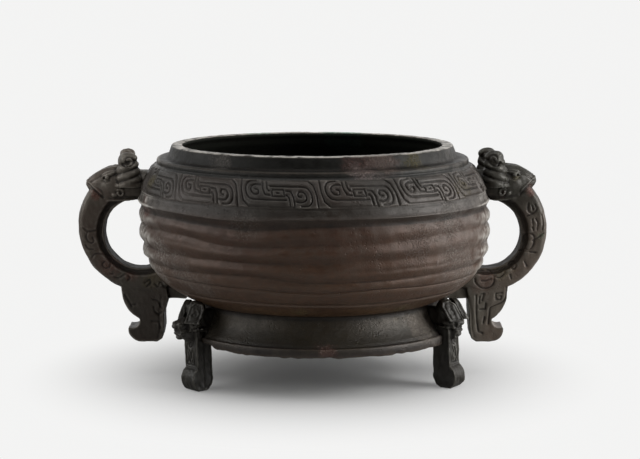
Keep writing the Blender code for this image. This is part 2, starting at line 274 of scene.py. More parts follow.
def ball(name, centre, radii, turn=0.0):
    """A squashed ball, turned about Y by `turn` degrees."""
    deselect()
    bpy.ops.mesh.primitive_uv_sphere_add(segments=24, ring_count=14, radius=1.0)
    obj = named(name)
    spin = np.array(Matrix.Rotation(math.radians(turn), 3, "Y"))
    place_corners(obj, (corners(obj) * radii) @ spin.T + centre)
    return obj


def cord(name, path, radius, sides=10):
    """A round bead of metal along a path of points in mm, with pointed ends."""
    path = [Vector(point) for point in path]
    sections = []
    for index, point in enumerate(path):
        before, after = path[max(index - 1, 0)], path[min(index + 1, len(path) - 1)]
        turn = (after - before).to_track_quat("Z", "Y").to_matrix()
        size = radius * (0.45 if index in (0, len(path) - 1) else 1.0)
        angles = [2 * math.pi * step / sides for step in range(sides)]
        sections.append([
            tuple(point + turn @ Vector((size * math.cos(a), size * math.sin(a), 0))) for a in angles
        ])
    return lofted(name, sections)


def knob(name, side, centre, radii, turn=0.0):
    """A ball at one side of a head or mask: side is 1 or -1."""
    return ball(name, (centre[0], side * centre[1], centre[2]), radii, turn)


def rounded_ring(out, half, top, under, sides, square, narrow=0.0):
    """A boxy ring across a head or mask. The two in `square` round it more as they near 1, across and up,
    and `narrow` draws its top in."""
    ring = []
    for step in range(sides):
        angle = 2 * math.pi * (step + 0.5) / sides
        across, up = (
            math.copysign(abs(value) ** power, value)
            for value, power in zip((math.cos(angle), math.sin(angle)), square)
        )
        drawn_in = 1 - narrow * max(up, 0) ** 2
        ring.append((out, half * across * drawn_in, (top + under) / 2 + (top - under) / 2 * up))
    return ring


def fused(name, shapes, grain, rounds):
    """Joins overlapping shapes into one skin of even quads `grain` mm wide and softens it."""
    for shape in shapes:
        recalculate(shape)
    only(shapes[0])
    for shape in shapes:
        shape.select_set(True)
    bpy.ops.object.join()
    obj = named(name)
    remesh = obj.modifiers.new("skin", "REMESH")
    remesh.mode = "VOXEL"
    remesh.voxel_size = grain
    remesh.adaptivity = 0.0
    bpy.ops.object.modifier_apply(modifier=remesh.name)
    smooth = obj.modifiers.new("soften", "SMOOTH")
    smooth.factor = 0.5
    smooth.iterations = rounds
    bpy.ops.object.modifier_apply(modifier=smooth.name)
    return obj


# ---------------------------------------------------------------- drawn lines


def arc(start, end, bulge, steps):
    """Points from start up to, not including, end on an arc that stands `bulge` off its chord, to the right
    of the way. A negative bulge bends it to the left."""
    start, end = Vector(start[:2]), Vector(end[:2])
    if steps == 1 or bulge == 0:
        return [tuple(start)]
    chord = end - start
    side = Vector((chord.y, -chord.x)).normalized()
    half = chord.length / 2
    radius = (half * half + bulge * bulge) / (2 * abs(bulge))
    sweep = math.asin(min(1.0, half / radius))
    points = []
    for step in range(steps):
        angle = sweep * (2 * step / steps - 1)
        along = radius * math.sin(angle)
        rise = radius * math.cos(angle) - (radius - abs(bulge))
        on_chord = start + chord / 2 + chord.normalized() * along
        points.append(tuple(on_chord + side * math.copysign(rise, bulge)))
    return points


def flowing(points, steps=4):
    """A smooth line through the given points."""
    points = [np.array(point, float) for point in points]
    if len(points) < 3:
        return points
    ends = [2 * points[0] - points[1]] + points + [2 * points[-1] - points[-2]]
    line = []
    for a, b, c, d in zip(ends, ends[1:], ends[2:], ends[3:]):
        for step in range(steps):
            t = step / steps
            line.append(0.5 * (2 * b + (c - a) * t + (2 * a - 5 * b + 4 * c - d) * t**2
                               + (3 * b - a - 3 * c + d) * t**3))
    return line + [points[-1]]


def roll(name, side, radius, *route):
    """A bead of metal that flows along one side of a head: side is 1 or -1."""
    return cord(name, flowing([(x, side * y, z) for x, y, z in route]), radius)


def scroll(centre, outer, inner, start, turns, squash=1.0, steps=14):
    """A spiral that winds inwards from `outer` to `inner` mm, from `start` degrees, by `turns` turns."""
    line = []
    for step in range(steps + 1):
        share = step / steps
        angle = math.radians(start + 360 * turns * share)
        radius = outer + (inner - outer) * share
        line.append(np.array((centre[0] + radius * math.cos(angle),
                              centre[1] + squash * radius * math.sin(angle))))
    return line


def distance_to(spots, lines):
    """How far each spot is from the nearest of the drawn lines, on the flat."""
    nearest = np.full(len(spots), 1e9)
    for line in lines:
        for start, end in zip(line, line[1:]):
            start, way = np.array(start, float), np.array(end, float) - np.array(start, float)
            length = max(way @ way, 1e-9)
            share = np.clip(((spots - start) @ way) / length, 0, 1)
            off = spots - start - share[:, None] * way
            nearest = np.minimum(nearest, np.einsum("ij,ij->i", off, off))
    return np.sqrt(nearest)


def cut(obj, spots, where, lines, width, depth, soften=0):
    """Carves grooves into the skin along lines drawn on the flat `spots`, only where the mask allows it. A
    negative depth raises ribs instead."""
    depth_here = np.exp(-((distance_to(spots, lines) / width) ** 2) * 1.2) * depth * where
    if soften:
        depth_here = blurred(depth_here, edge_ends(obj), soften).ravel()
    swell(obj, -depth_here)


def facing(obj, axis, low=0.35, high=0.75):
    """1 where the skin looks along the axis, either way, fading to 0 where it turns off it."""
    return fade(np.abs(outward(obj)[:, axis]), low, high - low)


# ---------------------------------------------------------------- finishing a piece


def mark_relief_and_shade(obj, shade):
    """Writes the relief attribute: above 0.5 on what stands proud, below it in hollows and in painted shade.
    """
    places, ends = corners(obj) / MM, edge_ends(obj)
    ways = outward(obj)
    near = np.einsum("ij,ij->i", places - blurred(places, ends, 4), ways)
    far = np.einsum("ij,ij->i", places - blurred(places, ends, 36), ways)
    span = np.percentile(np.abs(near), 94) + 1e-6
    wide = np.percentile(np.abs(far), 94) + 1e-6
    value = 0.5 + 0.28 * np.clip(near / span, -1.5, 1.5) + 0.2 * np.clip(far / wide, -1.5, 1.5)
    value = blurred(value, ends, 1).ravel() - shade
    attribute = obj.data.attributes.new("relief", "FLOAT", "POINT")
    attribute.data.foreach_set("value", np.clip(value, 0, 1).astype(np.float32))


def finish_piece(obj, material, shade=0.0):
    """Takes a piece made in mm to metres, with its place in its mesh, marks its relief and painted shade and
    rides it.
    """
    place_corners(obj, corners(obj) * MM)
    only(obj)
    bpy.ops.object.shade_smooth()
    mark_relief_and_shade(obj, shade)
    obj.data.materials.clear()
    obj.data.materials.append(material)
    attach(obj, "root")
    return obj


# ---------------------------------------------------------------- bowl and foot


def incised_line(radius, height, slope):
    along = Vector((math.cos(math.radians(slope)), math.sin(math.radians(slope))))
    inward = Vector((-along.y, along.x))
    middle = Vector((radius, height))
    shape = ((-0.55, -0.02), (-0.3, 0.45), (0.0, 1.0), (0.3, 0.45), (0.55, -0.02))
    return [tuple(middle + along * LINE_WIDTH * a + inward * LINE_DEPTH * d) for a, d in shape]


def shoulder(share, lift=0.0):
    """A point of the band's ground, from its lower edge at 0 to its upper edge at 1."""
    low, high = Vector(BAND_LOW), Vector(BAND_HIGH)
    way = high - low
    out = Vector((way.y, -way.x)).normalized()
    bulge = BAND_BULGE * (1 - (2 * share - 1) ** 2)
    return low + way * share + out * (bulge + lift)


def rib_rise(share):
    """The rounded crest of a worn rib, from groove to groove."""
    turn = np.pi * share
    return 0.62 * np.sin(turn) + 0.38 * np.sin(turn) ** 2


def rib(start, end, bulge, steps=14):
    """A worn rib between two grooves: a rounded crest that runs out into soft hollows."""
    start, end = Vector(start[:2]), Vector(end[:2])
    out = Vector((end.y - start.y, start.x - end.x)).normalized()
    shares = [step / steps for step in range(steps)]
    return [tuple(start.lerp(end, share) + out * bulge * rib_rise(share)) for share in shares]


def outer_wall():
    """Outside of the foot and bowl from the ring's underside up to the lip."""
    lower, upper = incised_line(*LOWER_LINE), incised_line(*UPPER_LINE)
    points = [(RING_R - 1.0, RING_BOTTOM), (RING_R - 0.3, RING_BOTTOM + 0.4), (RING_R, RING_BOTTOM + 1.6)]
    points += [(RING_R + 0.1, 35.6), (RING_R, RING_TOP - 1.2), (RING_R - 0.3, RING_TOP - 0.3)]
    points += [(RING_R - 1.2, RING_TOP + 0.1), (RING_R - 2.0, RING_TOP), (RING_R - 2.6, RING_TOP + 0.4)]
    points += arc((RING_R - 3.2, RING_TOP + 1.5), FOOT_TOP, -2.0, 12)
    points += arc(FOOT_TOP, lower[0], 0.9, 9) + lower
    points += arc(lower[-1], upper[0], 0.5, 5)[1:] + upper
    edges = [(radius - RIB_CUT, *rest) for radius, *rest in (*TILE_EDGES, TILE_TOP)]
    points += arc(upper[-1], edges[0], 1.3, 6)[1:]
    for edge, above in zip(edges, edges[1:]):
        points += rib(edge, above, edge[2] + RIB_CUT)
    points += [edges[-1], (128.8, 130.6), (129.9, 132.3), (130.8, 133.2), (131.1, 133.7), (130.8, 134.3)]
    points += [(130.1, 135.0), (129.6, 136.6), (128.9, 138.6), (128.5, 139.6), (127.9, 140.3)]
    points += [tuple(shoulder(0.0, 0.0))]
    for step in range(1, 12):
        points.append(tuple(shoulder(step / 12, -BAND_SINK)))
    points += [tuple(shoulder(0.985, -0.1)), (116.9, 159.7), (116.1, 160.1), (115.6, 160.5), (115.9, 161.1)]
    points += [BEAD, (115.9, 163.1), (115.5, 163.9), (114.7, 164.4), (113.4, 164.6), (111.4, 164.5)]
    points += [(109.4, 164.5), (108.2, 164.7), NECK, (107.0, 166.4), (106.3, 168.6), (105.5, 170.8)]
    points += [(104.9, 172.4), (104.5, 173.3), (MOUTH_R, HEIGHT - 0.2), (MOUTH_R - 1.0, HEIGHT - 0.05)]
    return points


def inner_wall():
    """Over the lip and down to the middle of the bowl's floor."""
    points = [(101.6, HEIGHT - 0.15), (99.2, HEIGHT - 0.15), (LIP_INNER_R + 0.9, HEIGHT - 0.05)]
    points += [(LIP_INNER_R + 0.2, HEIGHT - 0.5), (LIP_INNER_R, HEIGHT - 1.4), (LIP_INNER_R + 0.1, 171.6)]
    points += [(98.0, 170.6), (100.4, 169.2), (101.6, 167.4)]
    points += arc((102.0, 165.6), (126.6, 106.0), -8.4, 14)
    points += arc((126.6, 106.0), (99.0, 66.4), -4.6, 10)
    points += arc((99.0, 66.4), (0.0, 56.0), -5.0, 10)
    return points + [(0.0, 56.0)]


def foot_hollow():
    inside_r = RING_R - RING_WALL
    points = [(0.0, 51.6), (40.0, 53.8), (80.0, 56.2), (85.6, 56.3), (87.2, 55.0), (89.0, 48.5)]
    points += arc((89.0, 48.5), (inside_r, 38.6), -0.8, 5)[1:]
    return points + [(inside_r, 38.6), (inside_r, 36.0), (inside_r, 33.0), (inside_r + 0.5, RING_BOTTOM)]


def foot_edge(places):
    """The ring's lower rim: uneven all round, and broken back beside the left leg."""
    turn = turns(places)
    low = fade(places[:, 2], 37.5, -5.0) * (np.hypot(places[:, 0], places[:, 1]) > 98)
    ragged = 0.35 * lumps(places, 5.0, 11) + 0.3 * lumps(places, 13.0, 12) + 0.3
    broken = 3.1 * hump(turn, -51.5, 5.4, 4) + 0.9 * hump(turn, -40, 6)
    places[:, 2] += low * (np.clip(ragged, 0, 1.4) + broken)
    return places


def uneven_lip(places):
    """The lip's top is lumpy, with a crack across it at the left."""
    turn = turns(places)
    top = eased_step(places[:, 2], 171.5, 173.4)
    sunk = np.clip(0.1 * lumps(places, 3.4, 14) + 0.1 * lumps(places, 12.0, 15) + 0.05, 0, 0.3)
    places[:, 2] -= top * sunk
    places[:, 2] -= top * (0.9 * hump(turn, -101, 0.8) + 0.5 * hump(turn, -98, 0.8))
    return places


def eased_between(values, knots, levels):
    """Runs through the given levels at the knots, flat at each one."""
    total = np.full(len(values), float(levels[0]))
    for low, high, first, last in zip(knots, knots[1:], levels, levels[1:]):
        total += (last - first) * eased_step(values, low, high)
    return total


def uneven_wall(places):
    """Hand-cut lines and ribs: they wander up and down round the wall, which is dented and crusted."""
    turn = turns(places)
    folded = np.copysign(90 - np.abs(90 - np.abs(turn)), turn)
    radius, height = np.hypot(places[:, 0], places[:, 1]), places[:, 2].copy()
    outside = (radius > OUTSIDE_R) * (height < RIBS_HIGH) * (height > RIBS_LOW)
    rise = np.zeros(len(places))
    for (low, before), (high, after) in zip(RISES, RISES[1:]):
        more = eased_between(folded, RISE_TURNS, after) - eased_between(folded, RISE_TURNS, before)
        rise += fade(height, low, high - low) * more
    ribs = outside * eased_step(height, 84, 92) * (1 - eased_step(height, 126, 132))
    rise = rise * outside + ribs * (0.35 * lumps(places, 30.0, 3) + 0.2 * lumps(places, 12.0, 6))
    places[:, 2] += rise
    grow = rise / np.interp(height, *WALL_SLOPES)
    worn = WORN_DOWN * eased_step(turn, WORN_FROM, WORN_FROM + 14)
    worn *= 1 - eased_step(turn, WORN_TO, WORN_TO + 10)
    edges = TILE_EDGES + (TILE_TOP,)
    for (_, low, bulge), above in zip(TILE_EDGES, edges[1:]):
        share = fade(height, low, above[1] - low)
        grow -= worn * (bulge + RIB_CUT) * (rib_rise(share) - 0.5) * (share > 0) * (share < 1)
    for level, first, last, depth, width in SIDE_GROOVES:
        reach = eased_step(turn, first - 6, first + 6) * (1 - eased_step(turn, last - 6, last + 6))
        grow -= depth * reach * hump(height, level, width)
    dents = 0.16 * lumps(places, 15.0, 4) + 0.1 * lumps(places, 6.0, 5)
    crust = 0.22 * lumps(places, 5.0, 7) + 0.22 * lumps(places, 3.0, 8)
    crust *= eased_step(np.abs(turn), 50, 76) * (1 - 0.65 * eased_step(np.abs(turn), 100, 126))
    grow += (dents + crust - 0.12) * outside * eased_step(height, 76, 86)
    radius = np.maximum(radius, 1)
    reach = np.where(outside, np.minimum(radius + grow, OUTER_MOST), radius)
    places[:, :2] *= (reach / radius)[:, None]
    return places


def line_inside(obj, material):
    """Gives the faces of the bowl's hollow a near-black finish: their dark patina and painted shade together.
    """
    obj.data.materials.append(material)
    for face in obj.data.polygons:
        centre, way = face.center, face.normal
        out = math.hypot(centre.x, centre.y)
        side = way.x * centre.x + way.y * centre.y < -0.2 * out and FLOOR_LOW < centre.z < HOLLOW_TOP
        floor = way.z > 0.3 and centre.z < FLOOR_HIGH and (
            out < FLOOR_MIDDLE or centre.z > FLOOR_LOW and out < FLOOR_R)
        if side or floor:
            face.material_index = 1


def bowl(material, inside):
    profile = foot_hollow() + outer_wall() + inner_wall()
    deselect()
    bpy.ops.mesh.primitive_circle_add(vertices=len(profile), fill_type="NOTHING")
    obj = named("gui_bowl")
    place_corners(obj, [(radius, 0.0, height) for radius, height in profile])
    edit_edges(obj, lambda start, end: abs(start.index - end.index) > 1)
    bpy.ops.mesh.delete(type="EDGE_FACE")
    bpy.ops.mesh.select_all(action="SELECT")
    bpy.ops.mesh.spin(steps=BOWL_STEPS, angle=2 * math.pi, center=(0, 0, 0), axis=(0, 0, 1))
    bpy.ops.mesh.select_all(action="SELECT")
    bpy.ops.mesh.remove_doubles(threshold=1e-3)
    bpy.ops.mesh.normals_make_consistent(inside=False)
    bpy.ops.object.mode_set(mode="OBJECT")
    place_corners(obj, lean(uneven_lip(uneven_wall(foot_edge(corners(obj))))))
    finish_piece(obj, material)
    line_inside(obj, inside)
    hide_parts(NODE)
    return obj


# ---------------------------------------------------------------- dragon band


def half_turned(line, middle):
    return [(-x, 2 * middle - z) for x, z in line]


def dragon_lines(middle):
    """The incised lines of one unit, about its middle: a border that runs down and along the bottom, a hook
    that curls in, an elbow to the eye, and the same again after half a turn."""
    border = [(-25.6, 20.9), (-25.9, 12.0), (-24.9, 4.6), (-21.6, 0.9), (10.6, 0.7)]
    hook = flowing([(-14.4, 19.9), (-19.6, 19.3), (-22.3, 16.0), (-22.4, 10.6), (-20.4, 6.8), (-16.6, 5.7)])
    hook += [(5.2, 5.5)]
    curl = flowing([(-11.6, 16.7), (-15.0, 17.1), (-18.2, 15.6), (-18.9, 12.6), (-17.2, 9.8), (-14.0, 9.7),
                    (-13.5, 12.6), (-15.6, 13.4)])
    elbow = [(-10.2, 20.4), (-10.2, 13.6), (-9.0, 9.4), (-5.6, 8.9)]
    inner_elbow = [(-7.3, 20.4), (-7.3, 14.2), (-6.4, 12.4), (-5.4, 12.2)]
    lines = [border, hook, curl, elbow, inner_elbow]
    lines += [half_turned(line, middle) for line in lines]
    wide, tall = 4.1, 2.5
    lines.append([(-wide, middle - tall), (wide, middle - tall), (wide, middle + tall),
                  (-wide, middle + tall), (-wide, middle - tall)])
    lines.append([(-0.9, middle), (0.9, middle)])
    return lines


def dragon_band(name, centre_turn, material):
    """Half the band: a fine sheet laid round the shoulder, with the dragon lines cut into it."""
    low, high = Vector(BAND_LOW), Vector(BAND_HIGH)
    tall = (high - low).length
    middle_r = (low.x + high.x) / 2
    pitch = 2 * math.pi * middle_r / UNITS
    long = math.pi * middle_r
    sheet = tall + 2 * BAND_MARGIN
    across, up_steps = int(long / BAND_STEP), int(sheet / (BAND_STEP * 1.15))
    deselect()
    bpy.ops.mesh.primitive_grid_add(x_subdivisions=across, y_subdivisions=up_steps, size=1.0)
    obj = named(name)
    flat = corners(obj)
    along = flat[:, 0] * long
    up = tall / 2 + flat[:, 1] * sheet
    share = up / tall
    turn = along / middle_r + math.radians(centre_turn)
    degrees = (np.degrees(turn) + 180) % 360 - 180
    slant = 0.14 - 0.0045 * np.clip(degrees, -75, 0) * (degrees > -90)
    round_way = turn * middle_r + slant * (up - tall / 2) - math.radians(BAND_TURN) * middle_r
    unit_x = round_way % pitch - pitch / 2
    middle = tall / 2
    lines = dragon_lines(middle)
    near = distance_to(np.stack([unit_x, up], axis=1), lines)
    for step in (-pitch, pitch):
        near = np.minimum(near, distance_to(np.stack([unit_x + step, up], axis=1), lines[:1] + lines[5:6]))
    spots = np.stack([along, up, np.full(len(up), centre_turn * 3.0)], axis=1)
    worn = 0.85 + 0.14 * lumps(spots, 30.0, 21) - 0.3 * hump(degrees, -66, 15)
    worn -= 0.5 * hump(degrees, -47, 9) * (1 - eased_step(up, 5, 12))
    shape = 0.62 * (1 - hump(near, 0, GROOVE, 3)) + 0.38 * fade(near, 0, 1.7) ** 0.8
    worn = np.clip(worn, 0.25, 1.0)
    relief = BAND_RELIEF * shape * worn
    relief += BAND_RELIEF * (1 - worn) * 0.5
    relief += 0.05 * lumps(spots, 3.0, 22) + 0.05 * lumps(spots, 8.0, 23)
    border = np.clip((np.minimum(up, tall - up)) / 0.5, -0.8, 1)
    lift = BAND_GROUND + np.where(border > 0, border * relief, border * 1.1)
    way = np.array(high - low)
    out = np.array((way[1], -way[0])) / tall
    lift = lift + BAND_BULGE * (1 - (2 * share - 1) ** 2)
    radius = low.x + way[0] * share + out[0] * lift
    height = low.y + way[1] * share + out[1] * lift
    place_corners(obj, lean(np.stack([radius * np.sin(turn), -radius * np.cos(turn), height], axis=1)))
    return finish_piece(obj, material)


# ---------------------------------------------------------------- handles

LOOP_OUTER = (126.6, 111.4, 48.6)
LOOP_INNER = (129.6, 107.2, 26.0)
LOOP_ANGLES = (102.0, -118.0)
LOOP_UNDER_HEAD = (64.0, 46.0, 33.0)
LOOP_SECTION = (
    (1.0, 0.0), (0.995, 4.5), (0.975, 7.8), (0.935, 10.8), (0.875, 12.4), (0.78, 13.0), (0.6, 13.2),
    (0.42, 13.2), (0.3, 13.1), (0.25, 12.5), (0.215, 10.9), (0.18, 9.3), (0.14, 8.5), (0.1, 8.4),
    (0.07, 8.9), (0.045, 9.2), (0.015, 8.9), (0.0, 7.6), (0.01, 4.0), (0.015, 0.0),
)
STRUT = ((96.0, 58.4), (122.0, 58.4), (122.0, 76.0), (96.0, 76.0))
PENDANT_OUTER = (
    (138.0, 76.0, 0.0), (144.4, 68.0, 0.0), (143.8, 60.0, -2.4), (131.8, 43.4, 3.2), (140.4, 36.8, -3.2),
)
PENDANT_INNER = {
    1: ((131.0, 25.9), (119.6, 25.9), (116.4, 28.0), (115.2, 32.0), (115.0, 48.0), (114.4, 60.0),
        (112.0, 76.0)),
    -1: ((131.0, 25.9), (119.2, 25.9), (115.2, 28.4), (113.7, 35.0), (113.3, 48.0), (109.4, 59.0),
         (112.0, 76.0)),
}
HEAD_SECTIONS = (
    (108.0, 154.0, 135.0, 13.0), (128.0, 154.4, 132.4, 14.5), (137.0, 157.0, 132.2, 16.6),
    (145.0, 157.4, 131.8, 16.6), (151.4, 156.2, 131.6, 15.4), (157.4, 154.0, 133.8, 13.6),
    (162.0, 151.2, 137.8, 11.4), (165.2, 148.6, 140.4, 9.2), (167.0, 146.4, 142.0, 7.0),
    (167.6, 145.2, 143.0, 4.8),
)
HEAD_RAISED = {1: 2.9, -1: 0.0}
HORN_FOOT = (134.6, 12.0, 143.0)
HORN_TIP = (134.0, 13.2, 169.7)
# Each handle's near and far horn: how far it stands out from there, how much lower it ends, its size
HORNS = {1: ((2.0, 0.0, 0.98), (-1.0, 0.2, 0.92)), -1: ((0.5, 1.5, 0.97), (3.6, 0.7, 0.78))}
COIL = 6.0
COIL_TILT = 0.3
CAP_LOW = 158.5
# The snout is raised from nothing at the first of these places to the full amount at the second
SNOUT_RISE = (134, 162)
# The brow, the mouth, the cheek and eye socket, the eye and the neck: width, depth, softening, lines
HEAD_CUTS = (
    (0.95, 0.9, 1, [(143.6, 155.8), (149.0, 154.0), (154.4, 151.8), (159.0, 149.2), (163.2, 146.4)]),
    (0.8, 1.0, 1, [(165.0, 144.3), (161.2, 140.9), (157.4, 137.6), (154.4, 134.9)]),
    (0.7, 0.5, 1, [(143.8, 148.6), (141.8, 145.4), (142.2, 142.4)],
     [(154.2, 147.6), (151.4, 146.8), (148.4, 147.8)]),
    (0.7, 1.2, 0, [(152.8, 149.4), (153.2, 149.2)]),
    (0.9, 0.4, 1, [(126.4, 150.5), (124.8, 146.0), (125.8, 140.0), (124.4, 136.0)]),
)

# What each handle's sides carry: scales and feathers on the right one, worn scrolls on the left one
RIGHT_LINES = [
    flowing([(160.6, 130.5), (160.2, 125.2), (163.2, 123.0), (166.6, 125.6), (165.2, 130.0)]),
    [(163.2, 129.0), (163.8, 125.8)], [(159.2, 120.9), (164.3, 122.8)], [(163.3, 118.5), (163.6, 114.5)],
    [(163.2, 112.6), (164.0, 110.2)], flowing([(165.9, 118.8), (167.3, 115.4), (166.5, 110.9)]),
    flowing([(170.6, 122.0), (171.4, 116.0), (170.6, 110.6)]),
    [(163.2, 102.4), (167.6, 105.0), (171.6, 108.0)],
    flowing([(156.8, 101.3), (157.3, 105.7), (161.4, 107.8), (164.4, 105.2), (163.6, 99.1), (160.4, 95.6),
             (157.6, 96.9), (158.8, 100.4)]),
    [(153.4, 94.6), (159.7, 94.4), (165.2, 93.6)], scroll((148.2, 83.4), 3.0, 1.6, 200, -1.0, 1.1),
    [(156.8, 87.2), (158.4, 83.4)], flowing([(133.4, 76.7), (137.1, 74.5), (140.8, 76.7), (142.2, 79.0)]),
    [(146.0, 77.0), (146.7, 74.0)], scroll((127.2, 73.6), 7.6, 6.8, 178, 0.72),
    [(124.7, 72.3), (128.3, 72.3), (132.0, 73.7)],
    [(120.4, 61.0), (120.2, 43.8), (121.4, 33.6), (124.6, 32.4)], [(123.0, 60.3), (122.5, 55.0)],
    [(124.0, 61.8), (126.2, 62.5), (124.8, 57.3)], [(122.7, 50.5), (127.1, 50.7), (127.5, 55.0)],
    [(126.3, 44.5), (125.1, 40.0)],
    flowing([(143.2, 67.5), (142.6, 60.0), (139.4, 55.8), (133.0, 53.0), (130.4, 51.0), (129.8, 45.3),
             (129.0, 39.6)]),
    [(140.0, 63.0), (135.1, 62.6), (135.4, 58.0), (138.7, 57.8), (139.2, 60.6), (137.2, 60.6)],
]
LEFT_LINES = [
    flowing([(170.1, 112.0), (166.8, 109.6), (160.9, 110.2)]),
    flowing([(166.8, 109.6), (168.4, 105.7), (167.3, 102.4), (164.9, 100.6), (162.9, 102.0), (163.6, 105.0)]),
    flowing([(169.2, 99.3), (167.1, 96.3), (163.4, 96.1)]),
    flowing([(165.0, 89.4), (162.7, 92.4), (158.3, 92.6), (153.2, 90.9), (151.1, 86.4), (152.4, 82.4),
             (155.8, 82.0), (157.5, 84.6), (155.4, 86.8)]),
    [(151.9, 77.8), (149.7, 77.5)],
    flowing([(149.0, 75.2), (145.4, 74.5), (140.2, 77.5), (137.3, 74.5), (138.8, 73.0)]),
    [(126.3, 70.8), (122.5, 73.5), (121.9, 70.8), (124.8, 68.0)],
    flowing([(118.9, 70.0), (116.7, 67.8), (114.5, 71.3), (112.3, 67.8), (110.1, 66.5)]),
    flowing([(141.9, 61.8), (139.0, 56.5), (136.9, 52.5)]), [(137.6, 53.8), (133.9, 54.5)],
    flowing([(120.5, 58.0), (116.9, 56.5), (114.9, 52.0)]),
    flowing([(120.6, 52.8), (119.9, 49.0), (117.0, 46.8), (114.9, 48.3)]),
    [(122.2, 41.5), (117.4, 41.5), (116.2, 36.3)],
]
PENDANT_BORDER = flowing([(114.6, 60.0), (116.6, 48.0), (116.8, 36.0), (118.4, 29.4)])
# Lines are cut into the sides below the head and clear of the bowl. The loop's bore is darkened with painted
# shade
HEAD_LOW = 134
BOWL_CLEAR = 108
BORE_SHADE = 0.42
BORE_REACH = 33


def loop_ring(inner, outer):
    """The loop's section between two points: down one side and back up the other."""
    half_ring = [(inner.lerp(outer, share), half) for share, half in LOOP_SECTION]
    ring = [(spot.x, half, spot.y) for spot, half in half_ring]
    return ring + [(spot.x, -half, spot.y) for spot, half in reversed(half_ring) if half > 0]


def loop_sections():
    sections = []
    first, last = LOOP_ANGLES
    thin_from, full_from, thin_radius = LOOP_UNDER_HEAD
    steps = 60
    for step in range(steps + 1):
        degrees = first + (last - first) * step / steps
        angle = math.radians(degrees)
        way = Vector((math.cos(angle), math.sin(angle)))
        full = min(max((thin_from - degrees) / (thin_from - full_from), 0.0), 1.0)
        outer = Vector(LOOP_OUTER[:2]) + way * (thin_radius + (LOOP_OUTER[2] - 0.25 - thin_radius) * full)
        inner = Vector(LOOP_INNER[:2]) + way * LOOP_INNER[2]
        sections.append(loop_ring(inner, outer))
    return sections


def pendant_outline(side):
    outline = []
    for point, after in zip(PENDANT_OUTER, PENDANT_OUTER[1:] + PENDANT_INNER[side][:1]):
        outline += arc(point, after, point[2], 10)
    return outline + list(PENDANT_INNER[side])


def head_sections():
    """Rounded sections of the head from the shoulder to the tip of the snout."""
    rows = flowing(HEAD_SECTIONS, 4)
    return [rounded_ring(out, half, top, under, 28, (0.62, 0.72), 0.22) for out, top, under, half in rows]


def horn_sections(side, splay, lower, size):
    """A coiled horn: it narrows in rounded coils, tilted down and out, to a domed cap."""
    foot = Vector((HORN_FOOT[0] + splay, side * HORN_FOOT[1], HORN_FOOT[2]))
    tip = Vector((HORN_TIP[0] + splay, side * HORN_TIP[1], HORN_TIP[2] - lower))
    rows, sides, sections = 60, 32, []
    for row in range(rows + 1):
        share = row / rows
        body = (10.6 - 3.2 * min(share / 0.8, 1.0) ** 1.5) * size
        dome = math.sqrt(max(0.0, 1 - max(0.0, (share - 0.82) / 0.185) ** 2))
        carved = 1.0 if 0.1 < share < 0.8 else 0.2
        centre = foot.lerp(tip, share)
        ring = []
        for step in range(sides):
            angle = 2 * math.pi * step / sides
            wind = (share * (tip.z - foot.z) + COIL_TILT * body * math.cos(angle)) / COIL
            coil = abs(math.sin(math.pi * wind)) ** 0.75
            radius = body * dome * (1 - 0.2 * (1 - coil) * carved) + 0.15
            ring.append(tuple(centre + Vector((radius * math.cos(angle), radius * math.sin(angle), 0))))
        sections.append(ring)
    return sections


def head_shapes(horns, raised):
    """A beast's head: a smooth wedge with a rim over it, rolled lips, small eyes, curled ears, two horns."""
    shapes = [lofted("head", head_sections())]
    for side in (-1, 1):
        ear = [(141.2 + r * math.cos(a), side * 16.7, 138.6 + r * math.sin(a))
               for r, a in [(3.2 - 0.16 * k, 0.5 * k + 0.6) for k in range(14)]]
        shapes += [
            knob("cheek", side, (147.0, 12.8, 143.0), (9.0, 4.4, 6.6)),
            knob("brow", side, (149.0, 11.8, 152.4), (6.4, 4.0, 2.4), 14),
            knob("eye", side, (150.4, 14.9, 149.9), (1.9, 1.9, 1.3), 18),
            roll("upper_lip", side, 1.35, (166.2, 5.0, 147.4), (165.0, 7.8, 145.6), (161.8, 10.8, 142.9),
                 (158.2, 12.8, 140.2), (155.0, 14.0, 137.2)),
            roll("lower_lip", side, 1.4, (166.6, 3.4, 142.8), (162.4, 7.8, 139.0), (158.2, 10.8, 135.3),
                 (154.8, 12.6, 132.6)),
            cord("ear", ear, 0.9),
            knob("ear_lobe", side, (145.6, 15.4, 137.2), (2.4, 1.7, 1.8)),
            roll("throat", side, 0.8, (154.0, 12.6, 132.4), (142.4, 13.4, 132.8), (130.0, 13.0, 133.6)),
            roll("rim", side, 1.2, (141.0, 7.4, 156.8), (149.0, 6.6, 156.0), (156.0, 5.4, 153.4),
                 (161.0, 4.4, 150.4)),
        ]
    for shape in shapes:
        places = corners(shape)
        places[:, 2] += raised * eased_step(places[:, 0], *SNOUT_RISE)
        place_corners(shape, places)
    for side in (-1, 1):
        shapes.append(lofted("horn", horn_sections(side, *horns[side > 0])))
    return shapes


def carve_head(obj, horns, raised):
    places = corners(obj)
    spots = places[:, [0, 2]].copy()
    spots[:, 1] -= raised * eased_step(places[:, 0], *SNOUT_RISE)
    sides = facing(obj, 1, 0.2, 0.5) * (places[:, 2] > 130)
    for width, depth, soften, *lines in HEAD_CUTS:
        cut(obj, spots, sides, [flowing(line) for line in lines], width, depth, soften)
    cap = facing(obj, 1, 0.1, 0.4) * (places[:, 2] > CAP_LOW)
    for far, (splay, lower, size) in enumerate(horns):
        here = cap * ((places[:, 1] > 0) == bool(far))
        curl = scroll((133.2 + splay, 164.2 - lower), 5.6 * size, 1.0, 330, -1.25)
        cut(obj, places[:, [0, 2]], here, [curl], 0.85, 1.0)
    worn = fade(places[:, 2], 154, 4) * (places[:, 0] < 148 + horns[0][0])
    swell(obj, 0.3 * worn * lumps(places, 3.4, 61))


